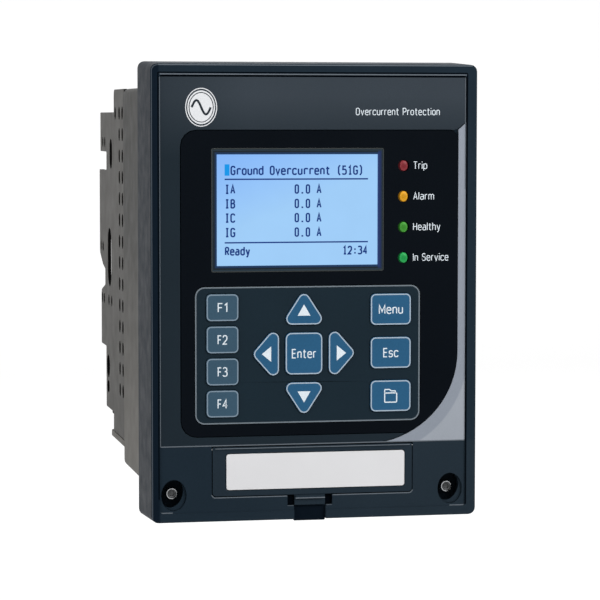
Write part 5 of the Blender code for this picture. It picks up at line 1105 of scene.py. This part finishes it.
KEY_WORDS = {
    "key_f1": ("F1", 3.8),
    "key_f2": ("F2", 3.9),
    "key_f3": ("F3", 3.9),
    "key_f4": ("F4", 4.0),
    "key_menu": ("Menu", 9.7),
    "key_escape": ("Esc", 6.1),
    "key_enter": ("Enter", 9.7),
}
KEY_CORNERS = {"key_menu": 1.9, "key_escape": 1.9, "key_file": 1.9, "key_enter": 2.3}
KEY_TURNS = {"key_up": 0, "key_down": 2, "key_left": 1, "key_right": 3}
KEY_FLANGE = 0.6 * MM
ARROW_CORNER = 2.4 * MM
ARROW_KEY = (18.4 * MM, 14.1 * MM)  # base and height before its corners are rounded
SIDE_ARROW_KEY = (24.8 * MM, 10.9 * MM)


class RELAY_OT_keys(bpy.types.Operator):
    """Finish the keys with their outlines and legends"""

    bl_idname = "relay.keys"
    bl_label = "Keys"

    def execute(self, context):
        colours, sizes = settings(context)
        function = moulded("Function key", colours.function_key, 0.42, 0.06, 0.3 * MM, 0.008 * MM)
        main = moulded("Key", colours.key, 0.42, 0.06, 0.3 * MM, 0.008 * MM)
        function_line = printed("Function key line", colours.function_line)
        key_line = printed("Key line", colours.key_line)
        white = printed("Key legend print", colours.legend)
        for name in sorted(n for n in NODES if n.startswith("key_")):
            body = body_of(name)
            is_function = name in ("key_f1", "key_f2", "key_f3", "key_f4")
            dress(name, function if is_function else main, 0.12 * MM)
            low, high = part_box(name)
            face = low.y
            front = face - sizes.print_height
            inset = sizes.key_line / 2 + 0.12 * MM
            ring = bmesh.new()
            outline = self.outline(name, low, high, inset)
            bar(ring, outline, sizes.key_line, front, face, True)
            line = function_line if is_function else key_line
            piece(f"{name}_line", ring, line, body)
            legend = bmesh.new()
            centre = ((low.x + high.x) / 2, (low.z + high.z) / 2)
            if name in KEY_WORDS:
                text, width = KEY_WORDS[name]
                left = centre[0] - width * MM / 2
                baseline = centre[1] - sizes.key_letter / 2
                place = (width * MM, left, baseline, sizes.key_stroke, front, face)
                words(legend, text, sizes.key_letter, *place)
            elif name == "key_file":
                self.folder(legend, centre, front, face)
            else:
                turn = KEY_TURNS[name]
                side = turn % 2
                size = (6.0 * MM, 3.7 * MM) if side else (5.1 * MM, 4.4 * MM)
                shift = (0.0 if side else 0.3) * MM
                away = Matrix.Rotation(turn * math.pi / 2, 2) @ Vector((0.0, shift))
                place = (centre[0] - away.x, centre[1] - away.y)
                pad(legend, triangle(place, *size, turn * math.pi / 2), front, face)
            piece(f"{name}_legend", legend, white, body)
        return {"FINISHED"}

    def outline(self, name, low, high, inset):
        left, right = low.x + KEY_FLANGE, high.x - KEY_FLANGE
        bottom, top = low.z + KEY_FLANGE, high.z - KEY_FLANGE
        if name not in KEY_TURNS:
            radius = KEY_CORNERS.get(name, 1.7) * MM
            return rectangle(
                left + inset, right - inset, bottom + inset, top - inset, radius - inset / 2
            )
        turn = KEY_TURNS[name]
        base, height = SIDE_ARROW_KEY if turn % 2 else ARROW_KEY
        slope = math.atan2(2 * height, base)
        tall = height - inset * (1 + 1 / math.cos(slope))
        wide = tall * base / height
        rise = inset + tall / 2 + KEY_FLANGE
        middle = ((low.x + high.x) / 2, (low.z + high.z) / 2)
        centre = (
            (middle[0], low.z + rise),
            (high.x - rise, middle[1]),
            (middle[0], high.z - rise),
            (low.x + rise, middle[1]),
        )[turn]
        return triangle(centre, wide, tall, turn * math.pi / 2, ARROW_CORNER - inset)

    def folder(self, mesh, centre, front, face):
        """An open folder drawn in one line."""
        x, z = centre
        wide, tall, line = 2.4 * MM, 2.5 * MM, 0.45 * MM
        tab = [
            (x - wide, z + tall * 0.45, 0),
            (x - wide, z + tall, 0.4 * MM),
            (x - wide * 0.2, z + tall, 0.2 * MM),
            (x + wide * 0.1, z + tall * 0.78, 0.2 * MM),
            (x + wide * 0.8, z + tall * 0.78, 0.3 * MM),
            (x + wide * 0.8, z + tall * 0.45, 0),
        ]
        bar(mesh, rounded(tab, False, 4), line, front, face)
        flap = rectangle(x - wide, x + wide * 1.02, z - tall, z + tall * 0.45, 0.4 * MM)
        bar(mesh, flap, line, front, face, True)


class RELAY_OT_door(bpy.types.Operator):
    """Finish the label door, its label plate and hinge pins"""

    bl_idname = "relay.door"
    bl_label = "Label door"

    def execute(self, context):
        colours, sizes = settings(context)
        dress("label_door", moulded("Moulded door", colours.door, 0.42, 0.02), sizes.edge)
        face = face_of("label_door")
        # Painted highlights: light lines along the door's top edge and across the latch.
        door_highlights = bmesh.new()
        upper = [(-39.6 * MM, -60.15 * MM), (37.9 * MM, -60.15 * MM)]
        bar(door_highlights, upper, 0.3 * MM, face - 0.05 * MM, face)
        line = [(-7.9 * MM, -80.15 * MM), (3.8 * MM, -80.15 * MM)]
        bar(door_highlights, line, 0.42 * MM, face - 0.05 * MM, face)
        light = printed("Latch highlight", colours.edge_highlight, 0.3)
        piece("latch_highlight", door_highlights, light, "door")
        card = Finish("Label card", 0.55, specular=0.2)
        card.paint(card.varied(colours.label, 0.02, 0.3 * MM, 14 * MM))
        card.worn(4 * MM, 0.05)
        card.grain(0.18 * MM, 0.006 * MM)
        dress("label_plate", card, 0.1 * MM)
        pins = plated("Hinge pin", colours.steel, 0.28)
        for side in ("left", "right"):
            dress(f"door_hinge_pin_{side}", pins, 0.08 * MM)
        return {"FINISHED"}


class RELAY_OT_screws(bpy.types.Operator):
    """Turn the front screws with hexagon sockets, and finish the screws behind"""

    bl_idname = "relay.screws"
    bl_label = "Screws"

    def execute(self, context):
        colours, _ = settings(context)
        steel = plated("Plated screw", colours.steel, 0.24)
        # Painted shade: the screws' sockets are given steel darkened for the shade in them.
        recess = plated("Screw recess", tuple(v * 0.16 for v in colours.steel), 0.4)
        for side in ("left", "right"):
            name = f"front_screw_{side}"
            low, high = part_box(name)
            centre = ((low.x + high.x) / 2, (low.z + high.z) / 2)
            head, top = (high.x - low.x) / 2, low.y
            rings = [
                (head - 0.6 * MM, top + 1.2 * MM),
                (head - 0.5 * MM, top + 0.08 * MM),
                (head - 0.4 * MM, top),
                (head - 0.15 * MM, top + 0.03 * MM),
                (head, top + 0.3 * MM),
                (head, top + 5.6 * MM),
                (1.4 * MM, top + 5.6 * MM),
                (1.4 * MM, high.y),
            ]
            mesh = bmesh.new()
            turned(mesh, rings, centre, 48)
            piece(f"screw_head_{side}", mesh, steel, HOUSING, (name,))
            rings = [
                (0.05 * MM, top + 1.1 * MM),
                (hexagon(1.7 * MM), top + 1.0 * MM),
                (hexagon(1.9 * MM), top + 0.5 * MM),
                (1.15 * MM, top + 0.42 * MM),
                (head - 0.58 * MM, top + 0.36 * MM),
                (head - 0.58 * MM, top + 1.1 * MM),
            ]
            mesh = bmesh.new()
            turned(mesh, rings, centre, 48)
            piece(f"screw_socket_{side}", mesh, recess, HOUSING)
            dress(f"bezel_screw_{side}", steel, 0.1 * MM)
        return {"FINISHED"}


class RELAY_OT_case(bpy.types.Operator):
    """Finish the painted steel case"""

    bl_idname = "relay.case"
    bl_label = "Case"

    def execute(self, context):
        colours, _ = settings(context)
        paint = self.paint("Chassis paint", colours.case, colours.case_low)
        for name in ("case_collar", "case_top", "case_bottom", "rear_panel"):
            dress(name, paint, 0.15 * MM)
        # Painted shade: the cheeks are painted a little darker towards the bottom.
        cheeks = self.paint("Cheek paint", colours.cheek, colours.cheek_low_shade)
        # Painted shade: the faces inside the cheeks, among them the walls of the vent slots, take a near-black
        # colour.
        x, y, _ = cheeks.axes
        outer = abs(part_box("left_cheek")[0].x)
        depth = cheeks.calculate("SUBTRACT", outer, cheeks.calculate("ABSOLUTE", x))
        inside = cheeks.calculate("GREATER_THAN", depth, 0.06 * MM)
        ahead = cheeks.calculate("LESS_THAN", y, 140.5 * MM)
        vent_wall_shade = cheeks.calculate("MULTIPLY", inside, ahead)
        cheeks.paint(cheeks.mix(vent_wall_shade, cheeks.tone, colours.vent_shade))
        for name in ("left_cheek", "right_cheek"):
            dress(name, cheeks, 0.05 * MM)
        # Painted shadow: dark sheets inside the cheeks, behind the vent slots, stand in for the shade inside
        # the case.
        paper = Finish("Vent shade sheet", 0.7, specular=0.1)
        paper.paint(paper.varied(colours.vent_shade, 0.15, 0.6 * MM, 20 * MM))
        paper.worn(4 * MM, 0.06)
        paper.grain(0.3 * MM, 0.01 * MM, stretch=(4.0, 1.0, 1.0))
        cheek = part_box("left_cheek")[1].x
        for side, name in ((-1, "left"), (1, "right")):
            inner = side * (abs(cheek) - 0.1 * MM)
            sheet = bmesh.new()
            outline = rectangle(66.5 * MM, 117.0 * MM, -62.0 * MM, 64.2 * MM, 1.5 * MM)
            pad(sheet, outline, inner, inner - side * 0.25 * MM)
            for point in sheet.verts:
                point.co = (point.co.y, point.co.x, point.co.z)
            piece(f"liner_{name}", sheet, paper, HOUSING)
        return {"FINISHED"}

    @staticmethod
    def paint(name, high, low):
        """Grey paint that changes a little down the case."""
        paint = Finish(name, 0.55, specular=0.05)
        down = paint.between(paint.axes[2], 25 * MM, -65 * MM)
        upper = paint.varied(high, 0.05, 0.7 * MM, 35 * MM)
        lower = paint.varied(low, 0.05, 0.7 * MM, 35 * MM)
        paint.tone = paint.mix(down, upper, lower)
        paint.paint(paint.tone)
        paint.worn(8 * MM, 0.06)
        paint.grain(0.45 * MM, 0.01 * MM)
        return paint


class RELAY_OT_terminals(bpy.types.Operator):
    """Finish the terminal blocks and the earth terminal"""

    bl_idname = "relay.terminals"
    bl_label = "Terminals"

    def execute(self, context):
        colours, _ = settings(context)
        block = moulded("Terminal block", colours.terminal, 0.5, 0.3, 0.4 * MM, 0.01 * MM)
        for name in ("terminal_block_a", "terminal_block_b", "communication_block"):
            dress(name, block, 0.12 * MM)
        white = printed("Terminal numbers", colours.legend)
        steel = plated("Terminal screws", colours.steel, 0.3)
        # Painted shade: each slot is a dark bar laid on the screw head, standing in for the slot and the shade
        # in it.
        slot = plated("Screw slots", tuple(v * 0.1 for v in colours.steel), 0.5)
        for name, first in (("terminal_block_a", 1), ("terminal_block_b", 13)):
            low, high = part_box(name)
            outward = -1 if low.x < 0 else 1
            inner = high.x if outward < 0 else low.x
            pitch = (high.z - low.z) / 12
            head, ledge = high.y - 0.8 * MM, high.y - 7.6 * MM
            heads, slots, numbers = bmesh.new(), bmesh.new(), bmesh.new()
            for i in range(12):
                centre = (inner + outward * 6.5 * MM, high.z - (i + 0.5) * pitch)
                rings = [
                    (2.35 * MM, head - 0.2 * MM),
                    (2.35 * MM, head + 0.25 * MM),
                    (2.1 * MM, head + 0.4 * MM),
                ]
                turned(heads, rings, centre, 32)
                lean = math.radians(20 + 37 * i % 140)
                reach = Vector((math.cos(lean), math.sin(lean))) * 1.95 * MM
                line = [(centre[0] - reach.x, centre[1] - reach.y)]
                line.append((centre[0] + reach.x, centre[1] + reach.y))
                bar(slots, line, 0.65 * MM, head + 0.4 * MM, head + 0.42 * MM)
                wide = 1.3 * MM if first + i < 10 else 2.6 * MM
                place = (wide, -wide / 2, -1.1 * MM, 0.3 * MM, ledge, ledge + 0.03 * MM)
                digits = bmesh.new()
                words(digits, str(first + i), 2.2 * MM, *place)
                at = inner + outward * 23.2 * MM
                for point in digits.verts:
                    point.co = (at - point.co.x, point.co.y, point.co.z + centre[1])
                held = bpy.data.meshes.new("digits")
                digits.to_mesh(held)
                digits.free()
                numbers.from_mesh(held)
                bpy.data.meshes.remove(held)
            letter = name[-1]
            piece(f"terminal_screws_{letter}", heads, steel, HOUSING)
            piece(f"terminal_slots_{letter}", slots, slot, HOUSING)
            piece(f"terminal_numbers_{letter}", numbers, white, HOUSING)
        brass = plated("Earth brass", colours.brass, 0.3)
        for name in ("earth_stud", "earth_nut", "earth_washer"):
            dress(name, brass, 0.1 * MM)
        return {"FINISHED"}


class RELAY_OT_boards(bpy.types.Operator):
    """Finish the circuit boards, transformers and service port inside"""

    bl_idname = "relay.boards"
    bl_label = "Boards"

    def execute(self, context):
        colours, _ = settings(context)
        mask = Finish("Solder mask", 0.35, specular=0.4)
        traces = mask.node(
            "ShaderNodeTexBrick",
            {"Vector": mask.place, "Scale": 180.0, "Mortar Size": 0.012},
        ).outputs["Fac"]
        base = mask.varied(colours.board, 0.12, 1.0 * MM, 25 * MM)
        mask.paint(mask.mix(traces, base, tuple(v * 1.5 for v in colours.board)))
        mask.worn(4 * MM, 0.06)
        mask.grain(0.5 * MM, 0.01 * MM)
        names = ("front_board", "main_board", "input_output_board", "power_supply_board")
        for name in names + ("backplane_board",):
            dress(name, mask)
        core = Finish("Transformer core", 0.5, metallic=0.4)
        sheets = core.node(
            "ShaderNodeTexWave", {"Vector": core.place, "Scale": 500.0}
        ).outputs["Fac"]
        base = core.varied(colours.core, 0.1, 1.0 * MM, 15 * MM)
        core.paint(core.mix(sheets, base, tuple(v * 0.6 for v in colours.core)))
        core.worn(3 * MM, 0.06)
        core.grain(0.6 * MM, 0.01 * MM)
        for i in range(1, 5):
            dress(f"input_transformer_{i}", core, 0.3 * MM)
        dress("service_port", plated("Port shell", colours.steel, 0.32), 0.1 * MM)
        return {"FINISHED"}


class RELAY_OT_stage(bpy.types.Operator):
    """Lay the floor and backdrop, and set the lamps and the camera"""

    bl_idname = "relay.stage"
    bl_label = "Stage"

    def execute(self, context):
        studio = context.scene.relay_studio
        self.cove(studio)
        self.surroundings(context.scene, studio)
        target = Vector((-6.16 * MM, -32.5 * MM, -2.745 * MM))
        self.lamp("Key", target, (0.50, -0.78, 0.52), 1.3, 0.8, studio.key_power)
        self.lamp("Fill", target, (-0.95, -0.45, 0.15), 1.2, 0.9, studio.fill_power)
        self.lamp("Top", target, (0.05, 0.45, 1.0), 1.1, 0.9, studio.top_power)
        self.camera(context.scene, studio, target)
        context.scene.view_settings.view_transform = "Standard"
        return {"FINISHED"}

    def cove(self, studio):
        """One sheet: the floor, and the backdrop that curves up behind."""
        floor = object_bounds()[0].z - studio.floor_drop
        near, far, bend = -0.55, 1.9, 0.5
        profile = [(near, floor), (far - bend, floor)]
        for i in range(1, 13):
            turn = math.pi / 2 * i / 12
            profile.append(
                (far - bend + bend * math.sin(turn), floor + bend - bend * math.cos(turn))
            )
        profile.append((far, floor + 3.0))
        mesh = bmesh.new()
        rows = [[mesh.verts.new((x, y, z)) for y, z in profile] for x in (-3.5, 3.5)]
        for i in range(len(profile) - 1):
            mesh.faces.new((rows[0][i], rows[1][i], rows[1][i + 1], rows[0][i + 1]))
        data = bpy.data.meshes.new("cove")
        mesh.to_mesh(data)
        mesh.free()
        data.shade_smooth()
        cove = bpy.data.objects.new("cove", data)
        bpy.context.scene.collection.objects.link(cove)
        cove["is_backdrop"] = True
        paper = Finish("Backdrop paper", 0.9, specular=0.0)
        paper.paint(paper.varied((0.3, 0.3, 0.3), 0.01, 20 * MM, 400 * MM))
        paper.glow((1.0, 1.0, 1.0), paper.calculate("MULTIPLY", self.seen(paper), 0.82))
        data.materials.append(paper.material)

    @staticmethod
    def seen(finish):
        """1 where the camera, a reflection or a view through glass meets the stage."""
        path = finish.node("ShaderNodeLightPath").outputs
        rays = [path[f"Is {kind} Ray"] for kind in ("Camera", "Glossy", "Transmission")]
        return finish.calculate("MAXIMUM", finish.calculate("MAXIMUM", *rays[:2]), rays[2])

    def surroundings(self, scene, studio):
        world = bpy.data.worlds.new("Studio")
        world.use_nodes = True
        nodes, links = world.node_tree.nodes, world.node_tree.links
        nodes.clear()
        path = nodes.new("ShaderNodeLightPath").outputs
        share = path["Is Camera Ray"]
        for kind in ("Glossy", "Transmission"):
            most = nodes.new("ShaderNodeMath")
            most.operation = "MAXIMUM"
            links.new(share, most.inputs[0])
            links.new(path[f"Is {kind} Ray"], most.inputs[1])
            share = most.outputs[0]
        level = nodes.new("ShaderNodeMapRange")
        level.inputs["To Min"].default_value = studio.ambient
        level.inputs["To Max"].default_value = 1.0
        links.new(share, level.inputs["Value"])
        sky = nodes.new("ShaderNodeBackground")
        sky.inputs["Color"].default_value = (1.0, 1.0, 1.0, 1.0)
        links.new(level.outputs["Result"], sky.inputs["Strength"])
        output = nodes.new("ShaderNodeOutputWorld")
        links.new(sky.outputs[0], output.inputs["Surface"])
        scene.world = world

    @staticmethod
    def lamp(name, target, direction, distance, size, power):
        light = bpy.data.lights.new(name, "AREA")
        light.shape = "SQUARE"
        light.size = size
        light.energy = power
        lamp = bpy.data.objects.new(name, light)
        away = Vector(direction).normalized()
        lamp.location = target + away * distance
        lamp.rotation_euler = away.to_track_quat("Z", "Y").to_euler()
        bpy.context.scene.collection.objects.link(lamp)

    @staticmethod
    def camera(scene, studio, target):
        data = bpy.data.cameras.new("Camera")
        data.lens = studio.focal_length
        data.sensor_width = 36.0
        camera = bpy.data.objects.new("Camera", data)
        side, up = studio.azimuth, studio.elevation
        back = Vector((math.sin(side) * math.cos(up), -math.cos(side) * math.cos(up), math.sin(up)))
        camera.location = target + back * studio.distance
        turn = back.to_track_quat("Z", "Y") @ Quaternion((0.0, 0.0, 1.0), studio.roll)
        camera.rotation_euler = turn.to_euler()
        scene.collection.objects.link(camera)
        scene.camera = camera


OPERATORS = (
    RELAY_OT_bezel,
    RELAY_OT_overlay,
    RELAY_OT_window,
    RELAY_OT_display,
    RELAY_OT_lamps,
    RELAY_OT_keypad,
    RELAY_OT_keys,
    RELAY_OT_door,
    RELAY_OT_screws,
    RELAY_OT_case,
    RELAY_OT_terminals,
    RELAY_OT_boards,
    RELAY_OT_stage,
)


class RELAY_PT_pieces(bpy.types.Panel):
    """The relay's pieces, one button each"""

    bl_idname = "RELAY_PT_pieces"
    bl_label = "Protection relay"
    bl_space_type = "VIEW_3D"
    bl_region_type = "UI"
    bl_category = "Relay"

    def draw(self, context):
        for operator in OPERATORS:
            self.layout.operator(operator.bl_idname)


CLASSES = (RelayColours, RelaySizes, RelayStudio, *OPERATORS, RELAY_PT_pieces)


def register():
    for made in CLASSES:
        bpy.utils.register_class(made)
    bpy.types.Scene.relay_colours = bpy.props.PointerProperty(type=RelayColours)
    bpy.types.Scene.relay_sizes = bpy.props.PointerProperty(type=RelaySizes)
    bpy.types.Scene.relay_studio = bpy.props.PointerProperty(type=RelayStudio)


def unregister():
    for name in ("relay_colours", "relay_sizes", "relay_studio"):
        delattr(bpy.types.Scene, name)
    for made in reversed(CLASSES):
        bpy.utils.unregister_class(made)


def main():
    register()
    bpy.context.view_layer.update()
    for operator in OPERATORS:
        group, name = operator.bl_idname.split(".")
        getattr(getattr(bpy.ops, group), name)()
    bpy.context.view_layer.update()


if __name__ == "__main__":
    main()
